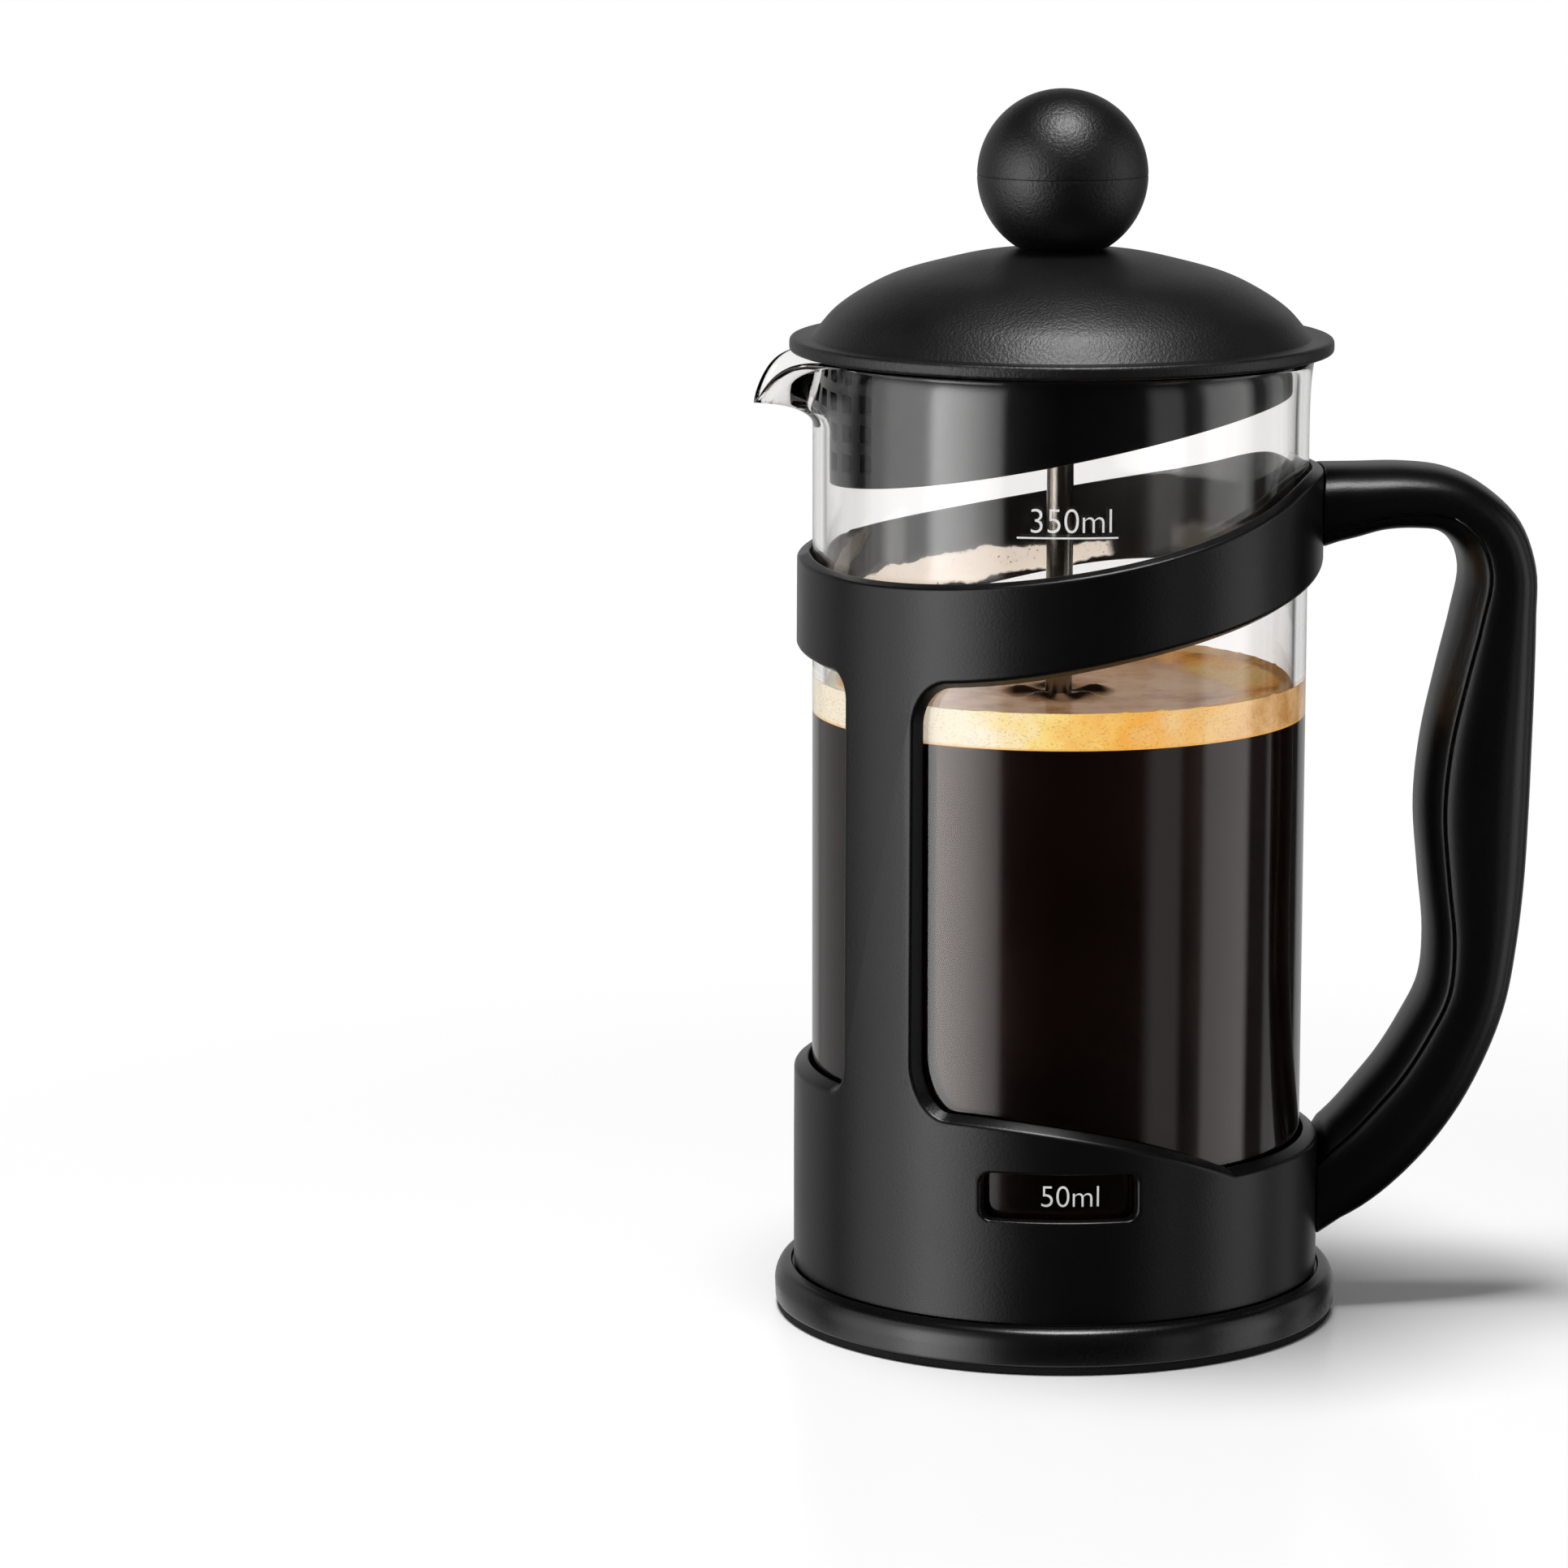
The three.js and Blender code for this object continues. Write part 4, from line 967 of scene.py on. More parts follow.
def woven_steel(look):
    """Fine wire cloth, woven square."""
    finish, nodes, shader = new_finish("press_woven_steel", Metallic=1.0)
    if nodes:
        parts = nodes.parts(nodes.place())
        sides = [nodes.times(parts[axis], math.pi / WIRE_PITCH_M) for axis in range(2)]
        warp, weft = [nodes.math("ABSOLUTE", nodes.math("SINE", side)) for side in sides]
        over = nodes.times(*[nodes.math("SINE", nodes.times(side, 0.5)) for side in sides])
        crossing = nodes.math("GREATER_THAN", over, 0.0)
        height = nodes.plus(nodes.times(warp, crossing), nodes.times(weft, nodes.minus(1.0, crossing)))
        gap = nodes.spread(nodes.math("MAXIMUM", warp, weft), 0.25, 0.7)
        nodes.feed(shader,
                   Base_Color=nodes.blend(gap, (0.02, 0.018, 0.016, 1), shaded(look.steel, 0.8)),
                   Roughness=nodes.spread(height, 0.0, 1.0, 0.55, 0.32),
                   Normal=nodes.bump(height, 0.6, 0.0001))
    return finish


def clear_glass():
    """Clear glass that lets the lamps through."""
    finish, nodes, shader = new_finish(
        "press_clear_glass", Base_Color=(0.993, 0.984, 0.978, 1), IOR=1.47, Transmission_Weight=1.0)
    if nodes:
        haze = nodes.noise(nodes.place(), 60.0, 4.0)
        nodes.feed(shader, Roughness=nodes.spread(haze, 0.35, 0.8, 0.0, 0.035))
        path = nodes.new("LightPath").outputs
        passing = nodes.math("MAXIMUM", path["Is Shadow Ray"], path["Is Diffuse Ray"])
        through = nodes.new("BsdfTransparent", {"Color": (0.95, 0.96, 0.955, 1)})
        nodes.surface(nodes.mixed(passing, shader, through))
    return finish


def mark_print(look):
    """The white print of the volume marks."""
    finish, nodes, shader = new_finish("mark_print", Roughness=0.5)
    if nodes:
        shade = nodes.spread(nodes.noise(nodes.place(), 1800.0, 3.0), 0.2, 0.6, 0.88, 1.0)
        nodes.feed(shader, Base_Color=nodes.blend(1.0, tuple(look.mark), shade, "MULTIPLY"))
    return finish


def coffee_finish(look):
    """Near black coffee with a brown depth."""
    finish, nodes, shader = new_finish(
        "coffee_liquid", Specular_IOR_Level=0.25, Specular_Tint=(1.0, 0.72, 0.62, 1))
    if nodes:
        place = nodes.place()
        cloud = nodes.noise(place, 40.0, 3.0)
        upper = nodes.spread(nodes.parts(place)[2], 0.02, 0.085, 0.7, 1.4)
        tone = nodes.times(nodes.spread(cloud, 0.3, 0.7, 0.8, 1.2), upper)
        nodes.feed(shader, Base_Color=nodes.blend(1.0, tuple(look.coffee), tone, "MULTIPLY"),
                   Roughness=nodes.spread(cloud, 0.3, 0.7, 0.12, 0.2))
    return finish


def foam_finish(shape, look):
    """Crema: pale to orange at the glass, pink brown in the middle, with a painted glow."""
    # Emission_Strength gives the foam a painted glow: it lights itself in its own colour, though it is no
    # lamp.
    finish, nodes, shader = new_finish(
        "foam_crema", IOR=1.045, Specular_Tint=(1.0, 0.8, 0.64, 1), Emission_Strength=0.3)
    if not nodes:
        return finish
    parts = nodes.parts(nodes.place())
    bubbles = foam_bubbles(nodes, 2100.0, 95.0)
    pits, cloud = bubbles["Pits"], bubbles["Cloud"]
    broken = nodes.minus(cloud, 0.5)
    radius = nodes.from_axis(parts)
    edge = nodes.spread(nodes.plus(radius, nodes.times(broken, 0.014)), *FOAM_EDGE_M)
    band = [shape.foam_level - depth for depth in RIM_BAND_M]
    near_top = nodes.times(nodes.spread(parts[2], *band), nodes.until(radius, *RIM_REACH_M))

    # The band at the glass runs from pale on the left, through orange, to dark brown on the right: painted
    # light on the left and painted shade on the right.
    along = nodes.plus(nodes.plus(nodes.times(parts[0], 1 / 0.08), 0.5), nodes.times(broken, 0.5))
    orange, pale = tuple(look.crema[:3]), tuple(look.cream[:3])
    between = nodes.minus(1.0, pits)
    rim = nodes.blend(nodes.times(between, 0.12), nodes.ramp(along, (
        (0.0, pale), (0.3, pale), (0.42, (1.0, 0.74, 0.26)), (0.6, orange), (0.7, (0.9, 0.58, 0.25)),
        (0.82, (0.9, 0.56, 0.27)), (0.93, (0.55, 0.27, 0.085)))), (0.6, 0.3, 0.09, 1))
    back = nodes.blend(nodes.times(between, 0.4), nodes.ramp(cloud, FOAM_BACK), (0.28, 0.11, 0.03, 1))

    turn = nodes.math("ARCTAN2", parts[1], parts[0])
    petal = nodes.times(nodes.plus(nodes.math("SINE", nodes.times(turn, float(PETALS))), 1.0), 0.5)
    splash = nodes.times(nodes.until(radius, *SPLASH_M), nodes.spread(petal, 0.05, 0.5, 0.45, 1.0))
    middle = nodes.blend(splash, nodes.ramp(cloud, FOAM_MIDDLE), (0.02, 0.008, 0.004, 1))
    colour = nodes.blend(near_top, rim, nodes.blend(edge, middle, back))
    base = shape.coffee_level
    colour = nodes.blend(nodes.spread(parts[2], base - 0.0002, base + 0.0006), look.crema, colour)

    # lit is 1 on the foam's side at the glass and its rim, where the painted glow is strongest, and lower on
    # the middle of the top.
    lit = nodes.minus(1.0, nodes.times(near_top, nodes.minus(1.0, edge)))
    relief = nodes.times(bubbles["Height"], nodes.spread(lit, 0.0, 1.0, 0.12, 1.0))
    nodes.feed(shader, Base_Color=colour, Normal=nodes.bump(relief, 0.5, 0.0005),
               Emission_Color=nodes.blend(nodes.spread(lit, 0.0, 1.0, 0.8, 1.0), BLACK, colour),
               Roughness=nodes.spread(lit, 0.0, 1.0, 0.16, 0.6))
    return finish


def residue_finish():
    """Dried foam on the glass, thin and broken, with a painted glow."""
    # Emission_Strength gives the dried foam a painted glow in its own colour.
    finish, nodes, shader = new_finish("foam_residue", Roughness=0.7, Emission_Strength=0.6)
    if not nodes:
        return finish
    place = nodes.place()
    parts = nodes.parts(place)
    fine = foam_bubbles(nodes, 2600.0, 420.0)["Height"]
    colour = nodes.ramp(fine, RESIDUE_TONES)
    lift = nodes.times(nodes.minus(nodes.noise(place, 90.0, 5.0, 0.6), 0.5), 0.005)
    level = nodes.plus(parts[2], lift)
    lower = nodes.minus(level, nodes.times(parts[0], RESIDUE_LOW_SLOPE))
    upper = nodes.minus(level, nodes.times(parts[0], RESIDUE_HIGH_SLOPE))
    cover = nodes.spread(lower, RESIDUE_LOW, RESIDUE_LOW + 0.0006)
    for share in (nodes.until(upper, RESIDUE_HIGH, RESIDUE_HIGH + 0.0004),
                  nodes.until(nodes.plus(parts[0], lift), *RESIDUE_END_M),
                  nodes.spread(parts[1], 0.0, 0.004), nodes.spread(fine, 0.3, 0.6, 0.55, 0.97)):
        cover = nodes.times(cover, share)
    nodes.feed(shader, Base_Color=colour, Emission_Color=colour, Alpha=cover)
    glow = nodes.new("BsdfTranslucent", {"Color": (1.0, 0.93, 0.84, 1)})
    lit = nodes.mixed(cover, nodes.new("BsdfTransparent"), glow)
    nodes.surface(nodes.mixed(0.5, shader, lit))
    return finish


# --------------------------------------------------------------- the pieces


def add_foot(look):
    """The pad that stands on the table and the ring that carries the cup."""
    pad = turned("pad_disc", softened([
        (0, 0, 0), (PAD_RADIUS, 0, 0.3), (PAD_RADIUS, PAD_THICKNESS, 0.15), (0, PAD_THICKNESS, 0)]))
    put_on(pad, "holder", plastic("pad_rubber", look), "base_pad")
    ring = turned("foot_body", softened([
        (FOOT_SOCKET, FOOT_LEDGE, 0.2), (FOOT_BORE, FOOT_LEDGE, 0.3), (FOOT_BORE, PAD_THICKNESS, 0.3),
        (FOOT_RADIUS - 0.1, PAD_THICKNESS, 0.4), *FOOT_SHOULDER[::-1]], 9), 180)
    put_on(ring, "holder", plastic("foot_black", look), "foot_ring")


def corner_run(size, steps=12):
    """(Distance, rise) pairs of a rounded corner, from its side to its level edge."""
    width, height = size
    angles = [math.pi / 2 * step / steps for step in range(steps + 1)]
    return [(width * (1 - math.cos(a)), height * (1 - math.sin(a))) for a in angles]


def rounded_opening(middle, height, size, corner, steps):
    """Outline of an upright opening with rounded corners."""
    run = corner_run(corner, steps)
    return [(middle + across * (size[0] / 2 - distance), height + up * (size[1] / 2 - rise), 0.0)
            for across, up in ((1, -1), (1, 1), (-1, 1), (-1, -1))
            for distance, rise in (reversed(run) if across == -up else run)]


def odd_angles(start, end):
    """Odd whole angles after the start and before the end."""
    return [a for a in range(-185, 186) if a % 2 and start < a < end]


def window_side(start, way, low_corner, high_corner, low, high):
    """One upright side of a window with its corners, from the lower one up.

    The window lies past the starting angle where the way is 1, and before it at -1.
    """
    side = []
    for corner, edge, up in ((low_corner, low, 1), (high_corner, high, -1)):
        for distance, rise in corner_run(corner)[::-up]:
            angle = start + way * math.degrees(distance / CUP_RADIUS)
            side.append((flat_x(angle), edge(angle) + up * rise, WINDOW_CHAMFER))
    return side


def holder_outlines():
    """Rim, spout window and reading slot as (along, height, chamfer)."""
    past_cup = STRUT_END + math.degrees(CUP_CORNER[0] / CUP_RADIUS)
    past_collar = STRUT_END + math.degrees(COLLAR_CORNER[0] / CUP_RADIUS)
    inside = STRUT_START - math.degrees(SPOUT_CORNER[0] / CUP_RADIUS)
    side_windows, spout_window = [], []
    for side in (1, -1):
        def collar(angle):
            return collar_bottom(side * angle)

        path = [(flat_x(a), cup_rim(a), WINDOW_CHAMFER)
                for a in reversed(odd_angles(past_cup + 1, PANEL_LIMIT + 1))]
        path += window_side(STRUT_END, 1, CUP_CORNER, COLLAR_CORNER, cup_rim, collar)
        path += [(flat_x(a), collar(a), WINDOW_CHAMFER)
                 for a in odd_angles(past_collar + 1, PANEL_LIMIT + 1)]
        half = window_side(STRUT_START, -1, SPOUT_CORNER, SPOUT_CORNER, lambda angle: SPOUT_RIM, collar)
        half += [(flat_x(a), collar(a), WINDOW_CHAMFER) for a in reversed(odd_angles(0, inside - 1))]
        side_windows.append([(side * x, y, c) for x, y, c in path][::side])
        spout_window += [(side * x, y, c) for x, y, c in half][::side]
    top = [(flat_x(a), collar_top(a) - TOP_CHAMFER / 3, TOP_CHAMFER)
           for a in reversed(odd_angles(-PANEL_LIMIT - 1, PANEL_LIMIT + 1))]
    rim = ([(flat_x(-PANEL_LIMIT), CUP_BOTTOM, 0), (flat_x(PANEL_LIMIT), CUP_BOTTOM, 0)]
           + side_windows[0] + top + side_windows[1])
    slot = rounded_opening(flat_x(SLOT_ANGLE), SLOT_BOTTOM + SLOT_SIZE[1] / 2, SLOT_SIZE, SLOT_CORNER, 6)
    return [rim, spout_window, slot]


def add_holder(shape, look):
    """The holder: floor, cup, two struts and the sloping collar."""
    outlines = holder_outlines()
    holder = ring_of("holder_body", outlines, outlines, CUP_RADIUS - HOLDER_INNER, shape.edge / MM,
                     HOLDER_INNER, holder_radius, CUP_RADIUS)
    floor = turned("cup_floor", softened([
        (0, CUP_BOTTOM, 0), (HOLDER_INNER + 0.6, CUP_BOTTOM, 0),
        (HOLDER_INNER + 0.6, CUP_FLOOR_TOP, 0), (0, CUP_FLOOR_TOP, 0)]))
    put_on(join(holder, floor), "holder", plastic("press_satin_black", look),
           "holder_frame", 50.0)


def handle_stations():
    """Middle, outward way and half depth along the handle."""
    height = HANDLE_TOP - HANDLE_BOTTOM

    def places(first):
        return [Vector((COLLAR_RADIUS + row[first] * HANDLE_REACH, 0,
                        HANDLE_BOTTOM + row[first + 1] * height)) for row in HANDLE_SHARES]

    inside, outside = places(0), places(2)
    stations = []
    for step in range(HANDLE_STATIONS + 1):
        inner = curve_through(inside, step / HANDLE_STATIONS)
        outer = curve_through(outside, step / HANDLE_STATIONS)
        stations.append(((inner + outer) / 2, (outer - inner).normalized(), (outer - inner).length / 2))
    return stations


def section_arc(half_depth, half_width, cut_depth, outwards, steps):
    """Half of a rounded section as (depth, side) pairs, from the cut line on."""
    power = 2 / SECTION_POWER

    def bend(value, power=power):
        return math.copysign(abs(value) ** power, value)

    share = min(0.999, max(-0.999, cut_depth / half_depth))
    start = math.asin(bend(share, 1 / power))
    end = math.pi - start if outwards else -math.pi - start
    angles = [mix(start, end, step / steps) for step in range(steps + 1)]
    return [(half_depth * bend(math.sin(a)), half_width * bend(math.cos(a))) for a in angles]


def handle_loft(name, outwards, steps):
    """One half of the handle, with its roots on the holder's wall."""
    rings = []
    for number, (middle, outward, depth) in enumerate(handle_stations()):
        from_end = min(number, HANDLE_STATIONS - number)
        if from_end in (1, 2):
            continue
        cut = (STRIP_THICKNESS + FIT_GAP - depth) if outwards else STRIP_THICKNESS - depth
        ring = []
        for across, side in section_arc(depth, HANDLE_HALF_WIDTH, cut, outwards, steps):
            point = middle + outward * across + Vector((0, side, 0))
            if from_end == 0:
                point.x = math.sqrt((holder_radius(point.z) + FIT_GAP / 2) ** 2 - side ** 2)
            ring.append(point)
        rings.append(ring)
    return lofted(name, rings, capped=True)


def add_handle(shape, look):
    """The handle: an outer channel and the strip that closes it."""
    for name, outwards, steps, node in (("handle_channel", True, 30, "handle_shell"),
                                        ("handle_liner", False, 22, "handle_strip")):
        piece = handle_loft(name, outwards, steps)
        apply_modifier(piece, "BEVEL", width=shape.seam, segments=2, limit_method="ANGLE",
                       angle_limit=math.radians(55))
        put_on(piece, "holder", plastic("press_satin_black", look), node, 50.0)


def spout_pull(angle):
    """How far the rim is pulled into the spout, from 0 to 1."""
    share = min(1, folded(angle) / SPOUT_HALF_ANGLE)
    return ((1 + math.cos(math.pi * share)) / 2) ** SPOUT_SHARPNESS


def beaker_wall(angle, radius, top, steps=14):
    """One face of the beaker's wall at an angle, from the straight part up."""
    pull = spout_pull(angle)
    start = Vector((radius, GLASS_TOP - SPOUT_DEPTH))
    bend = Vector((radius, mix(GLASS_TOP - RIM_FLARE_HEIGHT, GLASS_TOP - GUTTER_DEPTH, pull)))
    end = Vector((radius + RIM_FLARE + (SPOUT_REACH - RIM_FLARE) * pull,
                  top - SPOUT_DROP * pull ** SPOUT_DROP_POWER))
    return [start.lerp(bend, step / steps).lerp(bend.lerp(end, step / steps), step / steps)
            for step in range(steps + 1)]


def add_beaker():
    """The glass beaker with its pouring spout."""
    angles = [-SPOUT_HALF_ANGLE + step for step in range(int(2 * SPOUT_HALF_ANGLE))]
    angles += [SPOUT_HALF_ANGLE + (360 - 2 * SPOUT_HALF_ANGLE) * step / BEAKER_STATIONS
               for step in range(BEAKER_STATIONS)]
    inner_corner = GLASS_CORNER - GLASS_WALL
    floor = GLASS_BOTTOM + GLASS_FLOOR
    lip = GLASS_WALL / 2
    rings = []
    for angle in angles:
        outside = beaker_wall(angle, GLASS_RADIUS, GLASS_TOP - lip / 2)
        inside = beaker_wall(angle, GLASS_INNER, GLASS_TOP - lip / 2)
        middle, half = (outside[-1] + inside[-1]) / 2, (outside[-1] - inside[-1]) / 2
        up = Vector((-half.y, half.x)).normalized() * lip / 2
        turns = [math.pi * step / 6 for step in range(1, 6)]
        bead = [middle + half * math.cos(turn) + up * math.sin(turn) for turn in turns]
        profile = (
            [Vector((0, GLASS_BOTTOM))]
            + arc((GLASS_RADIUS - GLASS_CORNER, GLASS_BOTTOM + GLASS_CORNER), GLASS_CORNER, -90, 0, 8)
            + outside + bead + inside[::-1]
            + arc((GLASS_INNER - inner_corner, floor + inner_corner), inner_corner, 0, -90, 6)
            + [Vector((0, floor))])
        rings.append([around(angle, point.x, point.y) for point in profile])
    beaker = lofted("beaker_glass", rings + rings[:1])
    put_on(beaker, "beaker", clear_glass(), "glass_beaker", 180.0, False)


def wrapped_print(name, words, left, right, low, high, line=None):
    """A printed mark on the glass between two plan angles and two heights."""
    clear_selection()
    bpy.ops.object.text_add()
    letters = bpy.context.active_object
    letters.data.body = words
    letters.data.extrude = PRINT_HALF_DEPTH
    letters.data.offset = PRINT_OFFSET
    bpy.ops.object.convert(target="MESH")
    letters = bpy.context.active_object
    box = []
    for axis in range(2):
        spots = [vertex.co[axis] for vertex in letters.data.vertices]
        box.append((min(spots), max(spots) - min(spots)))
    width = GLASS_RADIUS * math.radians(right - left)
    for vertex in letters.data.vertices:
        across = (vertex.co.x - box[0][0]) / box[0][1] * width
        vertex.co = (across, mix(low, high, (vertex.co.y - box[1][0]) / box[1][1]), vertex.co.z)
    if line:
        start, end, height = line
        clear_selection()
        bpy.ops.mesh.primitive_cube_add(size=1)
        stroke = bpy.context.active_object
        reach = [GLASS_RADIUS * math.radians(value - left) for value in (start, end)]
        for vertex in stroke.data.vertices:
            vertex.co = (reach[vertex.co.x > 0], height + math.copysign(LINE_HALF_HEIGHT, vertex.co.y),
                         math.copysign(PRINT_HALF_DEPTH, vertex.co.z))
        letters = join(letters, stroke)
    letters.name = name
    slice_flat(letters, [0.5 * step - 5 for step in range(60)])
    for vertex in letters.data.vertices:
        radius = GLASS_RADIUS + PRINT_LIFT + vertex.co.z
        turn = math.radians(left) + vertex.co.x / GLASS_RADIUS
        vertex.co = Vector((radius * math.cos(turn), radius * math.sin(turn), vertex.co.y)) * MM
    return close_up(letters, 1e-8)


def add_marks(shape, look):
    """The printed volume marks on the beaker."""
    for name, words, left, right, low, share, line in VOLUME_MARKS:
        mark = wrapped_print(name, words, left, right, low, low + share * (shape.mark_height / MM), line)
        put_on(mark, "beaker", mark_print(look), smooth=30.0, weighted=False)


def ruffle(foam, level, wall):
    """Swells the top of the foam and draws the petals round the rod."""
    for vertex in foam.data.vertices:
        spot = vertex.co / MM
        radius = math.hypot(spot.x, spot.y)
        if spot.z < level + 2 or radius > wall - 0.05:
            continue
        calm = min(1, max(FOAM_CALM, (radius - FOAM_CALM_RADIUS) / 5))
        waves = sum(height * calm * noise.noise(Vector((spot.x * scale, spot.y * scale, place)))
                    for height, scale, place in FOAM_WAVES)
        turn = math.atan2(spot.y, spot.x)
        petal = math.sin(PETALS * turn) * math.exp(-((radius - PETAL_RADIUS) / PETAL_WIDTH) ** 2)
        vertex.co.z += (waves + PETAL_HEIGHT * petal) * MM


def add_coffee(shape, look):
    """The coffee and its foam, which fill the beaker up to the glass."""
    level, foam_top = shape.coffee_level / MM, shape.foam_level / MM
    bottom = GLASS_BOTTOM + GLASS_FLOOR - 0.1
    wall = GLASS_INNER + 0.2
    coffee = turned("coffee_liquid", softened([
        (0, bottom, 0), (wall, bottom, 3.1), (wall, level, 0), (0, level, 0)], 8))
    put_on(coffee, "beaker", coffee_finish(look), smooth=30.0)

    rise = [(radius, foam_top + height) for radius, height in (*FOAM_RISE, (wall, FOAM_CREEP))]
    side = [(wall, level + height) for height in (0.02, 1.0, 1.9, 3.2)]
    foam = turned("coffee_foam", [(0, level + 0.02), *side, *rise[::-1]], 200)
    ruffle(foam, level, wall)
    put_on(foam, "beaker", foam_finish(shape, look), smooth=60.0)

    low, high = FILM_HEIGHTS
    inner, outer = GLASS_INNER - 0.09, GLASS_INNER - 0.09 + 0.06
    film = turned("foam_film", [(inner, low), (outer, low), (outer, high), (inner, high)], 180)
    put_on(film, "beaker", residue_finish(), smooth=60.0)


def add_lid(look):
    """The domed lid with its flat rim."""
    span = LID_LAND_RADIUS - DOME_SEAT_RADIUS
    shares = [Vector((width, rise, 0)) for width, rise in DOME_SHARES]
    points = [curve_through(shares, step / DOME_STEPS) for step in range(DOME_STEPS + 1)]
    dome = [(DOME_SEAT_RADIUS + point.x * span, LID_RIM_TOP + max(point.y, 0) * DOME_RISE)
            for point in points]
    top = dome[0][1]
    socket = SKIRT_RADIUS + FIT_GAP
    inner = [(radius, height - DOME_WALL) for radius, height in dome[::-1] if radius < socket - 0.8]
    rim = softened([(LID_LAND_RADIUS, LID_RIM_TOP, 0), (LID_RADIUS, LID_RIM_TOP, 0.75),
                    (LID_RADIUS, LID_BOTTOM, 0.6), (socket, LID_BOTTOM, 0.2),
                    (socket, SKIRT_TOP + FIT_GAP, 0)], 6)[1:]
    lid = turned("lid_cover", [(DOME_BORE, top - 0.4), (DOME_BORE + 0.35, top), *dome, *rim, *inner,
                               (DOME_BORE, top - DOME_WALL)], 180)
    put_on(lid, "lid", plastic("press_grained_black", look), "lid_dome")


def skirt_low(angle):
    """Height of the skirt's sloping lower edge."""
    return SKIRT_LOWEST + SKIRT_SLOPE * SKIRT_RADIUS * (1 - math.cos(math.radians(angle)))


def grille_recess():
    """The block that cuts the grille's recess out of the skirt."""
    half_angle = GRILLE_COLUMNS / 2 * GRILLE_COLUMN_ANGLE
    face, outside = SKIRT_RADIUS - GRILLE_RECESS, SKIRT_RADIUS + 3
    low, high = SKIRT_LOWEST - 6, LID_BOTTOM - FIT_GAP
    recess = turned("recess", [(face, low), (outside, low), (outside, high), (face, high)], 40,
                    2 * half_angle)
    edit(recess)
    bpy.ops.transform.rotate(value=-math.radians(180 - half_angle), orient_axis="Z",
                             center_override=(0, 0, 0))
    sill = SKIRT_LOWEST + GRILLE_SILL - GRILLE_RECESS
    bpy.ops.mesh.bisect(
        plane_co=(-SKIRT_RADIUS * MM, 0, sill * MM), plane_no=(SKIRT_SLOPE, 0, -1),
        clear_outer=True, use_fill=True, threshold=1e-7)
    end_edit()
    return close_up(recess)


def add_strainer(look):
    """The strainer skirt with its recessed grille."""
    limit, radius = PANEL_LIMIT, SKIRT_RADIUS
    rim = [(flat_x(a, radius), skirt_low(a), 0.0) for a in odd_angles(-limit - 1, limit + 1)]
    rim += [(flat_x(limit, radius), SKIRT_TOP, 0.0), (flat_x(-limit, radius), SKIRT_TOP, 0.0)]
    outlines = [rim]
    for column in range(GRILLE_COLUMNS):
        angle = (column - (GRILLE_COLUMNS - 1) / 2) * GRILLE_COLUMN_ANGLE
        for row in range(GRILLE_ROWS):
            height = skirt_low(angle) + GRILLE_SILL + GRILLE_HOLE[1] / 2 + row * GRILLE_ROW_PITCH
            outlines.append(rounded_opening(flat_x(angle, radius), height, GRILLE_HOLE, HOLE_CORNER, 3))
    skirt = ring_of("lid_strainer", outlines, [rim], SKIRT_WALL, SKIRT_EDGE, radius - SKIRT_WALL,
                    lambda height: radius, radius)
    carve(skirt, [grille_recess()])
    put_on(skirt, "lid", plastic("skirt_black", look), "lid_skirt", 45.0)


def add_knob(shape, look):
    """The ball knob: a lower and an upper half with a fine seam."""
    seam = shape.seam / MM / 5
    centre, radius, lip = KNOB_CENTRE, KNOB_RADIUS, KNOB_LIP
    seat = math.sqrt(radius ** 2 - (centre - KNOB_BOTTOM) ** 2)
    start = -math.degrees(math.asin((centre - KNOB_BOTTOM) / radius))
    inner = radius - KNOB_WALL
    pocket = INSERT_RADIUS + FIT_GAP
    lower = turned("knob_lower", [
        (BORE_RADIUS, KNOB_BOTTOM), (seat - 0.3, KNOB_BOTTOM), *arc((0, centre), radius, start, 0, 26)[1:-1],
        (radius - 0.03, centre - seam), (radius - seam, centre), (inner + lip, centre),
        (inner + lip / 2, centre + lip), (inner - lip / 2, centre + lip), (inner - lip / 2, centre - lip),
        (pocket + KNOB_WALL, centre - lip), (pocket, ROD_TOP), (pocket, KNOB_BOTTOM + lip),
        (BORE_RADIUS, KNOB_BOTTOM + lip)], 128)
    put_on(lower, "plunger", plastic("press_grained_black", look), "knob_base")

    level = centre + KNOB_SEAM
    clear = inner + lip + FIT_GAP
    first = math.degrees(math.asin((KNOB_SEAM + seam) / radius))
    upper = turned("knob_upper", [
        (radius - seam, level), (radius - 0.03, level + seam * 0.7),
        *arc((0, centre), radius, first + 1, 90, 40), (0, centre + inner),
        *arc((0, centre), inner, 90, 30, 8)[1:],
        (clear - lip / 2, centre + lip + FIT_GAP), (clear, level)], 128)
    put_on(upper, "plunger", plastic("press_grained_black", look), "knob_cap")


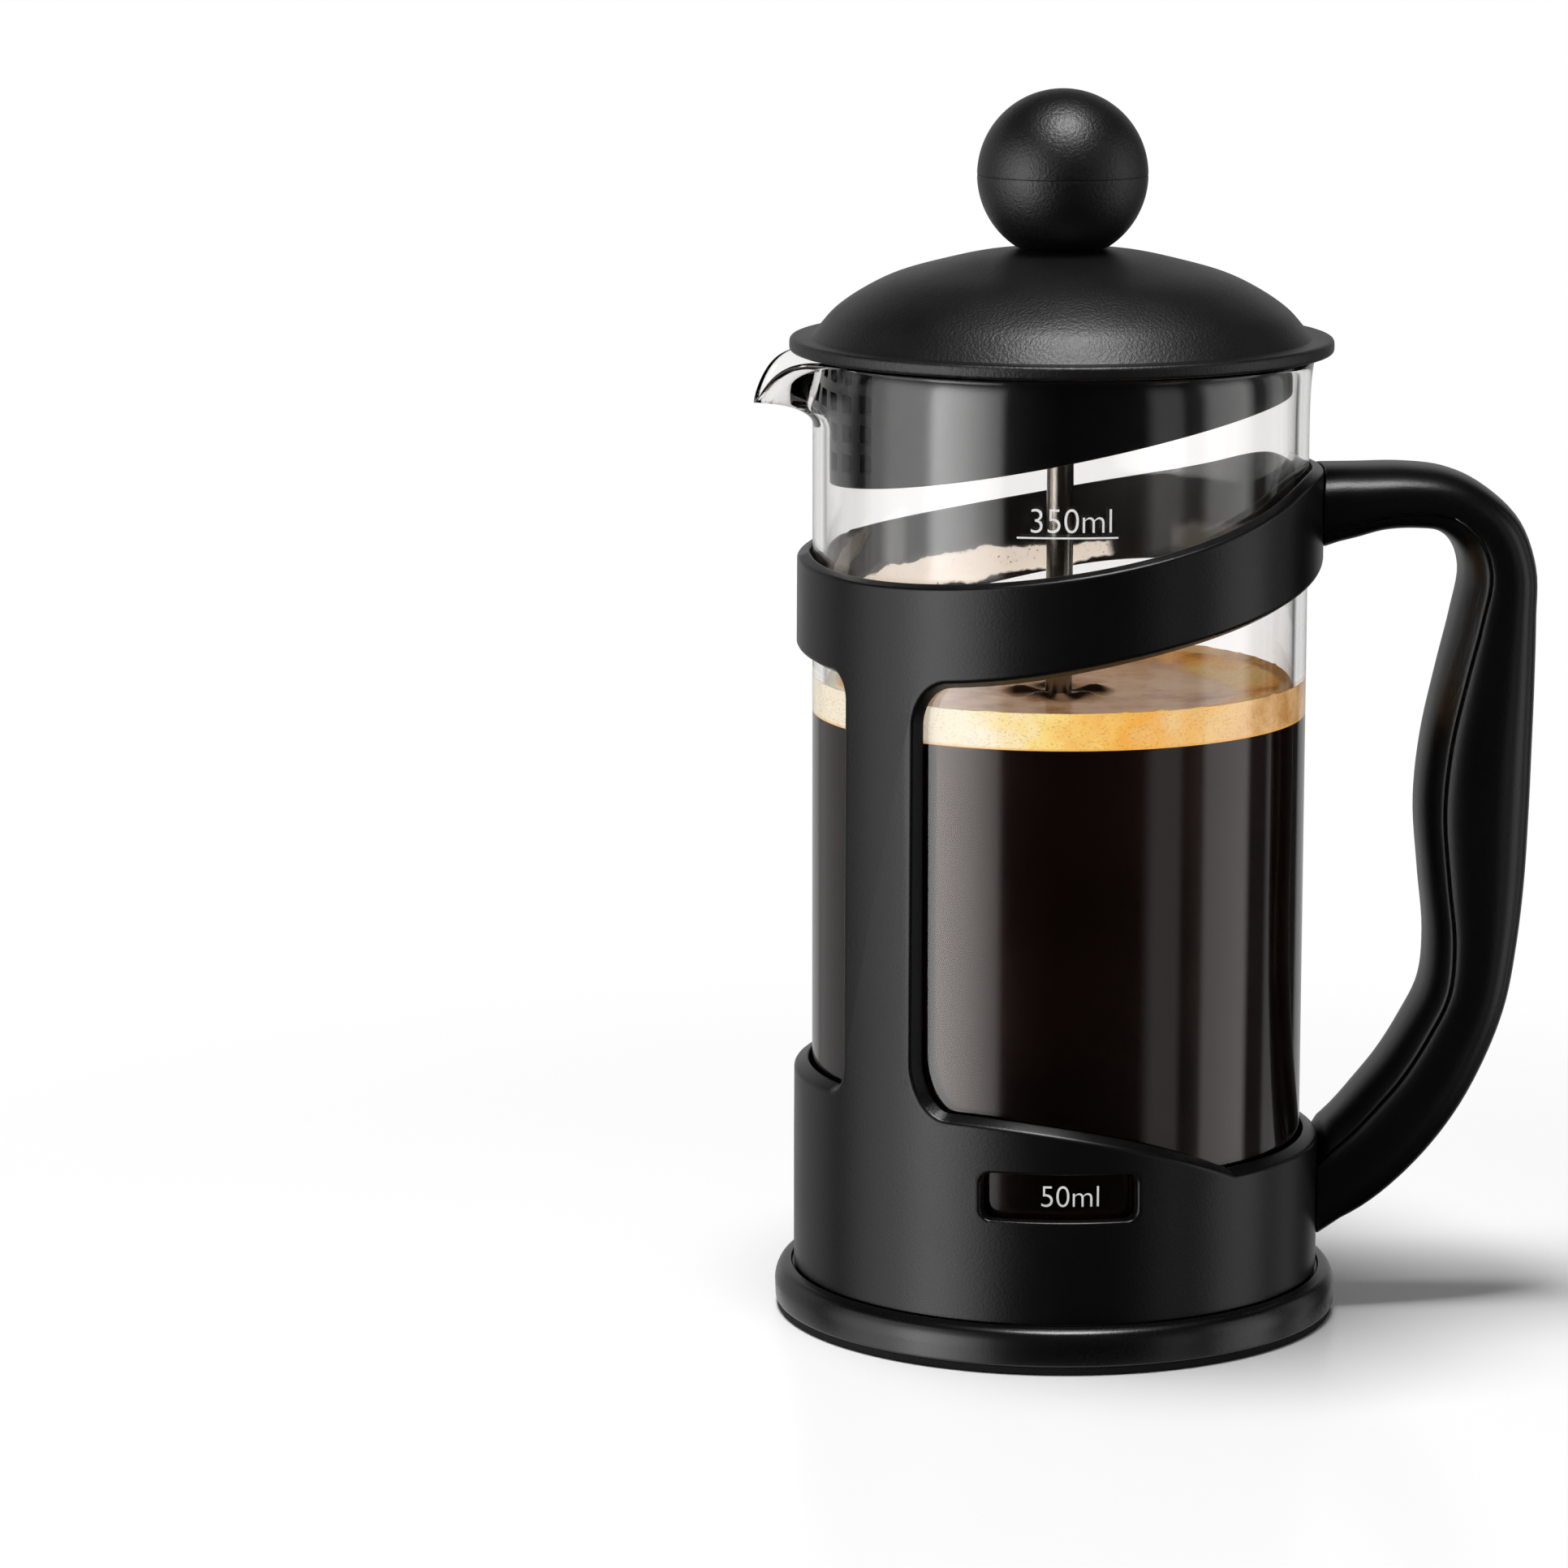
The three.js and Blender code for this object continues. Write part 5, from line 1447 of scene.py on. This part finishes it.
def add_rod(look):
    """The rod with the hub, washer and bolt that hold the filter pack."""
    rod = turned("piston_rod", softened([
        (0, ROD_BOTTOM, 0), (ROD_RADIUS, ROD_BOTTOM, 0.3), (ROD_RADIUS, ROD_TOP, 0.6), (0, ROD_TOP, 0)]), 48)
    put_on(rod, "plunger", steel("rod_steel", look), "plunger_rod")

    waist = (HUB_BOTTOM + HUB_TOP) / 2
    levels = [HUB_BOTTOM + 0.6 + step * (waist - HUB_BOTTOM - 0.6) / 6 for step in range(7)]
    hub = turned("hub_nut", [
        (BORE_RADIUS, HUB_BOTTOM), (HUB_RADIUS - 0.4, HUB_BOTTOM), (HUB_RADIUS, HUB_BOTTOM + 0.3),
        *((HUB_RADIUS, level) for level in (*levels, waist + 0.5, HUB_TOP - 1.4)),
        (HUB_RADIUS - 0.35, HUB_TOP - 0.6), (HUB_SINK + 0.45, HUB_TOP), (HUB_SINK, HUB_TOP - 0.05),
        (BORE_RADIUS, HUB_TOP - 2.2)], 96)
    for vertex in hub.data.vertices:
        spot = vertex.co / MM
        if math.hypot(spot.x, spot.y) < HUB_RADIUS - 0.2 or not HUB_BOTTOM < spot.z < waist + 0.2:
            continue
        turn = (math.degrees(math.atan2(spot.y, spot.x)) % 30) - 15
        oval = (1 - (turn / 13) ** 2) * (1 - ((spot.z - mix(HUB_BOTTOM, waist, 0.5)) / 2.7) ** 2)
        share = 1 - HUB_FLAT_DEPTH * max(0, oval) / HUB_RADIUS
        vertex.co.x *= share
        vertex.co.y *= share
    put_on(hub, "plunger", steel("hub_steel", look), "filter_hub", 50.0)

    low, high, radius = LOCK_RING
    washer = turned("lock_washer", softened([
        (BORE_RADIUS, low, 0.15), (radius, low, 0.2), (radius, high, 0.25), (BORE_RADIUS, high, 0.15)]), 96)
    put_on(washer, "plunger", steel("hub_steel", look), "lock_ring")

    low, high, radius = STUD_HEAD
    bolt = turned("filter_bolt", softened([
        (0, low, 0), (radius, low, 0.35), (radius, high, 0.15), (ROD_RADIUS, high, 0.1),
        (ROD_RADIUS, STUD_TOP, 0.3), (0, STUD_TOP, 0)]), 64)
    put_on(bolt, "plunger", steel("press_polished_steel", look), "filter_stud")


def add_filter(look):
    """The pressure plate, the wire cloth and the tray."""
    cone_foot, cone_top, cone_rise = PLATE_CONE
    thick = PLATE_TOP - PLATE_BOTTOM
    plate = turned("pressure_disc", softened([
        (BORE_RADIUS, PLATE_BOTTOM + cone_rise, 0), (cone_top - thick / 2, PLATE_BOTTOM + cone_rise, 0.6),
        (cone_foot - thick / 2, PLATE_BOTTOM, 0.8), (PLATE_FLAT, PLATE_BOTTOM, 1.0),
        (PLATE_RIM, PLATE_BOTTOM + PLATE_LIFT, 0.1), (PLATE_RIM - thick / 2, PLATE_TOP + PLATE_LIFT, 0.1),
        (PLATE_FLAT - thick / 2, PLATE_TOP, 1.0), (cone_foot, PLATE_TOP, 0.8),
        (cone_top, PLATE_TOP + cone_rise, 0.6), (BORE_RADIUS, PLATE_TOP + cone_rise, 0)]))
    carve(plate, [tool for row in PLATE_HOLES
                  for tool in holes_round(*row, PLATE_BOTTOM - 3, PLATE_TOP + 5)])
    put_on(plate, "plunger", steel("press_polished_steel", look), "pressure_plate", 30.0)

    slope = TRAY_CONE / (TRAY_RIM - TRAY_FLAT)
    thick = MESH_TOP - MESH_BOTTOM
    rim_height = MESH_BOTTOM + (MESH_RIM - MESH_FOOT) * slope
    cloth = turned("mesh_screen", softened([
        (BORE_RADIUS, MESH_BOTTOM, 0), (MESH_FOOT, MESH_BOTTOM, 0.8), (MESH_RIM, rim_height, 0.05),
        (MESH_RIM - thick, rim_height + thick, 0.05), (MESH_FOOT - thick / 2, MESH_TOP, 0.8),
        (BORE_RADIUS, MESH_TOP, 0)]), 180)
    put_on(cloth, "plunger", woven_steel(look), "filter_mesh", 30.0)

    top = TRAY_BOTTOM + TRAY_CONE
    thick = TRAY_TOP - TRAY_BOTTOM
    tray = turned("strainer_tray", softened([
        (BORE_RADIUS, TRAY_BOTTOM, 0), (TRAY_FLAT, TRAY_BOTTOM, 1.0), (TRAY_RIM, top, 0.15),
        (TRAY_RIM - thick, top + thick / 2, 0.15), (TRAY_FLAT - thick / 2, TRAY_TOP, 1.0),
        (BORE_RADIUS, TRAY_TOP, 0)]), 180)
    carve(tray, holes_round(*TRAY_HOLES, TRAY_BOTTOM - 3, TRAY_TOP + 3))
    put_on(tray, "plunger", steel("tray_steel", look), "filter_tray", 30.0)


def add_spring(shape, look):
    """The coil that presses the wire cloth to the glass."""
    steps = shape.spring_curls * 16
    points = []
    for step in range(steps + 1):
        turn = math.tau * step / 16
        angle = SPRING_END_GAP / 2 + (360 - SPRING_END_GAP) * step / steps
        points.append(around(angle, SPRING_RING + SPRING_COIL * math.cos(turn),
                             SPRING_HEIGHT + SPRING_COIL * math.sin(turn)))
    spring = wire("coil_ring", points, SPRING_WIRE)
    put_on(spring, "plunger", steel("press_polished_steel", look), "edge_spring", 60.0,
           False)


def dress_nodes(look):
    """Finishes of the frame's own small pieces that stay."""
    dressed = {"rod_guide": plastic("press_satin_black", look), "knob_insert": steel("hub_steel", look)}
    for name in ("handle_screw_upper", "handle_screw_lower"):
        dressed[name] = steel("press_polished_steel", look)
    for name, finish in dressed.items():
        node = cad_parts[name]
        node.data.materials.clear()
        node.data.materials.append(finish)


# ---------------------------------------------------------------- the studio

# Brightness by bearing, in degrees from the way the camera looks back
GLOSS_BANDS = (
    (-180, 0.5), (-155, 0.5), (-150, 0.3), (-143, 0.4), (-117, 0.4), (-113, 0.04), (-103, 0.04),
    (-101, 0.8), (-92, 0.9), (-88, 1.5), (-66, 1.9), (-60, 5.2), (-45, 3.4), (-29, 1.3), (-25, 0.03),
    (0, 0.0), (40, 0.02), (46, 0.5), (58, 0.5), (61, 0.04), (70, 0.1), (74, 1.1), (98, 1.4),
    (102, 0.05), (113, 0.05), (116, 0.5), (128, 0.5), (131, 0.02), (149, 0.02), (154, 0.4), (180, 0.5))
GLASS_BANDS = (
    (-154, 1.0), (-144, 0.3), (-128, 0.3), (-118, 0.95), (-62, 0.95), (-52, 0.3), (-36, 0.3), (-26, 1.0),
    (26, 1.0), (36, 0.3), (52, 0.3), (62, 0.95), (118, 0.95), (128, 0.3), (144, 0.3), (154, 1.0))
FRONT_BANDS = ((-130, 0.7), (-90, 1.0), (60, 1.0), (110, 0.7))
BEHIND_BANDS = ((-180, 1.0), (-152, 1.0), (-147, 0.0), (147, 0.0), (152, 1.0), (180, 1.0))
LAMP_DISTANCE_M = 1.1
LAMP_AIM_M = (0.0, 0.0, 0.08)
KEY = {"bearing": -62, "elevation": 83, "size": (0.42, 0.3), "radiance": 38.8}
CROWN = {"bearing": 15, "elevation": 75, "size": (0.44, 0.44), "radiance": 20.0}


def softbox(name, bearing, elevation, size, radiance):
    """A square lamp at a bearing from the camera's side and an elevation."""
    turn, rise = math.radians(CAMERA_BEARING + bearing), math.radians(elevation)
    target = Vector(LAMP_AIM_M)
    place = target + LAMP_DISTANCE_M * Vector((
        math.cos(turn) * math.cos(rise), math.sin(turn) * math.cos(rise), math.sin(rise)))
    rotation = (target - place).to_track_quat("-Z", "Y").to_euler()
    clear_selection()
    bpy.ops.object.light_add(type="AREA", location=place, rotation=rotation)
    lamp = bpy.context.active_object
    lamp.name = name
    lamp.data.shape = "RECTANGLE"
    lamp.data.size, lamp.data.size_y = size
    lamp.data.energy = radiance * math.pi * size[0] * size[1]
    lamp.visible_camera = False
    return lamp


def floor_finish():
    """Pale table: white to the camera, with the shadow and a faint mirror image."""
    finish, nodes, shader = new_finish("pale_table", Roughness=0.25, IOR=1.25)
    if not nodes:
        return finish
    place = nodes.place()
    nodes.feed(shader, Base_Color=nodes.blend(
        nodes.noise(place, 3.0, 2.0), (0.9, 0.9, 0.9, 1), (0.915, 0.915, 0.915, 1)))
    flat = nodes.new("VectorMath", {0: place, 1: (1.0, 1.0, 0.0)}, operation="MULTIPLY").outputs[0]
    away = nodes.new("VectorMath", {0: flat}, operation="LENGTH").outputs["Value"]
    path = nodes.new("LightPath").outputs
    leave = nodes.times(path["Is Glossy Ray"], nodes.spread(away, 0.0402, 0.046))
    near = nodes.mixed(leave, shader, nodes.new("BsdfTransparent"))
    far = nodes.times(path["Is Camera Ray"], nodes.spread(away, 0.1, 0.24))
    nodes.surface(nodes.mixed(far, near, nodes.new("Emission", {"Strength": 1.0})))
    return finish


def studio_world():
    """White behind, lit bands at the sides for gloss, even light elsewhere."""
    world = bpy.data.worlds.new("studio")
    bpy.context.scene.world = world
    world.use_nodes = True
    world.cycles.sampling_method = "NONE"
    world.node_tree.nodes.clear()
    nodes = Nodes(world.node_tree)
    way = nodes.new("TexCoord").outputs["Generated"]
    parts = nodes.parts(nodes.new("VectorRotate", {
        "Vector": way, "Angle": -math.radians(CAMERA_BEARING)}, rotation_type="Z_AXIS").outputs[0])
    bearing = nodes.plus(nodes.math("DIVIDE", nodes.math("ARCTAN2", parts[1], parts[0]), math.tau), 0.5)
    gloss, clear, front, behind = (
        nodes.ramp(bearing, [(angle / 360 + 0.5, shade) for angle, shade in bands])
        for bands in (GLOSS_BANDS, GLASS_BANDS, FRONT_BANDS, BEHIND_BANDS))
    height = parts[2]
    for_gloss = nodes.times(gloss, nodes.spread(nodes.math("ABSOLUTE", height), 0.3, 0.6, 1.0, 0.0))
    for_glass = nodes.times(clear, nodes.spread(height, 0.3, 0.7, 1.0, 0.5))
    even = nodes.plus(SKY_LIGHT, nodes.times(
        nodes.times(front, FRONT_LIGHT), nodes.spread(height, 0.12, 0.36, 1.0, 0.0)))
    path = nodes.new("LightPath").outputs
    mirrored = nodes.times(nodes.math("GREATER_THAN", path["Glossy Depth"], 0.5),
                           nodes.minus(1.0, path["Is Diffuse Ray"]))
    inside = nodes.times(mirrored, nodes.math("GREATER_THAN", path["Transmission Depth"], 0.5))
    trapped = nodes.times(inside, nodes.math(
        "MAXIMUM", behind, nodes.math("GREATER_THAN", path["Glossy Depth"], 1.5)))
    shade = nodes.choose(path["Is Transmission Ray"], even, for_glass)
    shade = nodes.choose(mirrored, shade, for_gloss)
    shade = nodes.choose(trapped, shade, 0.95)
    shade = nodes.choose(path["Is Camera Ray"], shade, 1.0)
    ground = nodes.new("Background", {"Color": shade, "Strength": 1.0})
    nodes.feed(nodes.new("OutputWorld"), Surface=ground.outputs[0])


def add_stage():
    """Table, lamps, surroundings and camera."""
    clear_selection()
    bpy.ops.mesh.primitive_grid_add(x_subdivisions=8, y_subdivisions=8, size=4)
    table = bpy.context.active_object
    table.name = "table"
    table.data.materials.append(floor_finish())
    studio_world()
    softbox("key", **KEY).visible_glossy = False
    softbox("crown", **CROWN).visible_diffuse = False
    clear_selection()
    bpy.ops.object.camera_add(
        location=CAMERA_PLACE,
        rotation=(math.radians(CAMERA_PITCH), 0, math.radians(CAMERA_TURN)))
    camera = bpy.context.active_object
    camera.data.lens = CAMERA_LENS_MM
    camera.data.sensor_width = SENSOR_MM
    bpy.context.scene.camera = camera
    bpy.context.scene.view_settings.view_transform = "Standard"


# ------------------------------------------------------------- the operators


class PRESS_OT_foot(Operator):
    """Add the pad and the foot ring"""

    bl_idname = "press.add_foot"
    bl_label = "Foot"

    def execute(self, context):
        add_foot(context.scene.press_finish)
        return {"FINISHED"}


class PRESS_OT_holder(Operator):
    """Add the holder with its cup, struts and collar"""

    bl_idname = "press.add_holder"
    bl_label = "Holder"

    def execute(self, context):
        add_holder(context.scene.press_shape, context.scene.press_finish)
        return {"FINISHED"}


class PRESS_OT_handle(Operator):
    """Add the two halves of the handle"""

    bl_idname = "press.add_handle"
    bl_label = "Handle"

    def execute(self, context):
        add_handle(context.scene.press_shape, context.scene.press_finish)
        return {"FINISHED"}


class PRESS_OT_beaker(Operator):
    """Add the glass beaker"""

    bl_idname = "press.add_beaker"
    bl_label = "Beaker"

    def execute(self, context):
        add_beaker()
        return {"FINISHED"}


class PRESS_OT_marks(Operator):
    """Add the printed volume marks"""

    bl_idname = "press.add_marks"
    bl_label = "Volume marks"

    def execute(self, context):
        add_marks(context.scene.press_shape, context.scene.press_finish)
        return {"FINISHED"}


class PRESS_OT_coffee(Operator):
    """Add the coffee and its foam"""

    bl_idname = "press.add_coffee"
    bl_label = "Coffee"

    def execute(self, context):
        add_coffee(context.scene.press_shape, context.scene.press_finish)
        return {"FINISHED"}


class PRESS_OT_lid(Operator):
    """Add the domed lid"""

    bl_idname = "press.add_lid"
    bl_label = "Lid"

    def execute(self, context):
        add_lid(context.scene.press_finish)
        return {"FINISHED"}


class PRESS_OT_strainer(Operator):
    """Add the strainer skirt"""

    bl_idname = "press.add_strainer"
    bl_label = "Strainer skirt"

    def execute(self, context):
        add_strainer(context.scene.press_finish)
        return {"FINISHED"}


class PRESS_OT_knob(Operator):
    """Add the two halves of the knob"""

    bl_idname = "press.add_knob"
    bl_label = "Knob"

    def execute(self, context):
        add_knob(context.scene.press_shape, context.scene.press_finish)
        return {"FINISHED"}


class PRESS_OT_rod(Operator):
    """Add the rod with its hub, washer and bolt"""

    bl_idname = "press.add_rod"
    bl_label = "Rod and hub"

    def execute(self, context):
        add_rod(context.scene.press_finish)
        return {"FINISHED"}


class PRESS_OT_filter(Operator):
    """Add the plate, wire cloth and tray of the filter"""

    bl_idname = "press.add_filter"
    bl_label = "Filter"

    def execute(self, context):
        add_filter(context.scene.press_finish)
        return {"FINISHED"}


class PRESS_OT_spring(Operator):
    """Add the edge spring"""

    bl_idname = "press.add_spring"
    bl_label = "Edge spring"

    def execute(self, context):
        add_spring(context.scene.press_shape, context.scene.press_finish)
        return {"FINISHED"}


class PRESS_OT_nodes(Operator):
    """Finish the frame's own small pieces"""

    bl_idname = "press.dress_nodes"
    bl_label = "Small pieces"

    def execute(self, context):
        dress_nodes(context.scene.press_finish)
        return {"FINISHED"}


class PRESS_OT_stage(Operator):
    """Add the table, the lamps and the camera"""

    bl_idname = "press.add_stage"
    bl_label = "Studio"

    def execute(self, context):
        add_stage()
        return {"FINISHED"}


OPERATORS = (
    PRESS_OT_foot, PRESS_OT_holder, PRESS_OT_handle, PRESS_OT_beaker, PRESS_OT_marks, PRESS_OT_coffee,
    PRESS_OT_lid, PRESS_OT_strainer, PRESS_OT_knob, PRESS_OT_rod, PRESS_OT_filter, PRESS_OT_spring,
    PRESS_OT_nodes, PRESS_OT_stage)


class PRESS_PT_panel(Panel):
    """Lists the pieces of the press with their sizes and colours"""

    bl_idname = "PRESS_PT_panel"
    bl_label = "Piston coffee press"
    bl_space_type = "VIEW_3D"
    bl_region_type = "UI"
    bl_category = "Press"

    def draw(self, context):
        layout = self.layout
        for settings in (context.scene.press_shape, context.scene.press_finish):
            box = layout.box()
            for name in settings.__annotations__:
                box.prop(settings, name)
        for operator in OPERATORS:
            layout.operator(operator.bl_idname)


CLASSES = (PressShape, PressFinish, *OPERATORS, PRESS_PT_panel)


def register():
    """Registers the classes and the settings."""
    for each in CLASSES:
        bpy.utils.register_class(each)
    bpy.types.Scene.press_shape = PointerProperty(type=PressShape)
    bpy.types.Scene.press_finish = PointerProperty(type=PressFinish)


def unregister():
    """Removes the settings and the classes."""
    del bpy.types.Scene.press_finish
    del bpy.types.Scene.press_shape
    for each in reversed(CLASSES):
        bpy.utils.unregister_class(each)


def main():
    """Builds every piece and the studio."""
    register()
    bpy.ops.press.add_foot()
    bpy.ops.press.add_holder()
    bpy.ops.press.add_handle()
    bpy.ops.press.add_beaker()
    bpy.ops.press.add_marks()
    bpy.ops.press.add_coffee()
    bpy.ops.press.add_lid()
    bpy.ops.press.add_strainer()
    bpy.ops.press.add_knob()
    bpy.ops.press.add_rod()
    bpy.ops.press.add_filter()
    bpy.ops.press.add_spring()
    bpy.ops.press.dress_nodes()
    bpy.ops.press.add_stage()


if __name__ == "__main__":
    main()
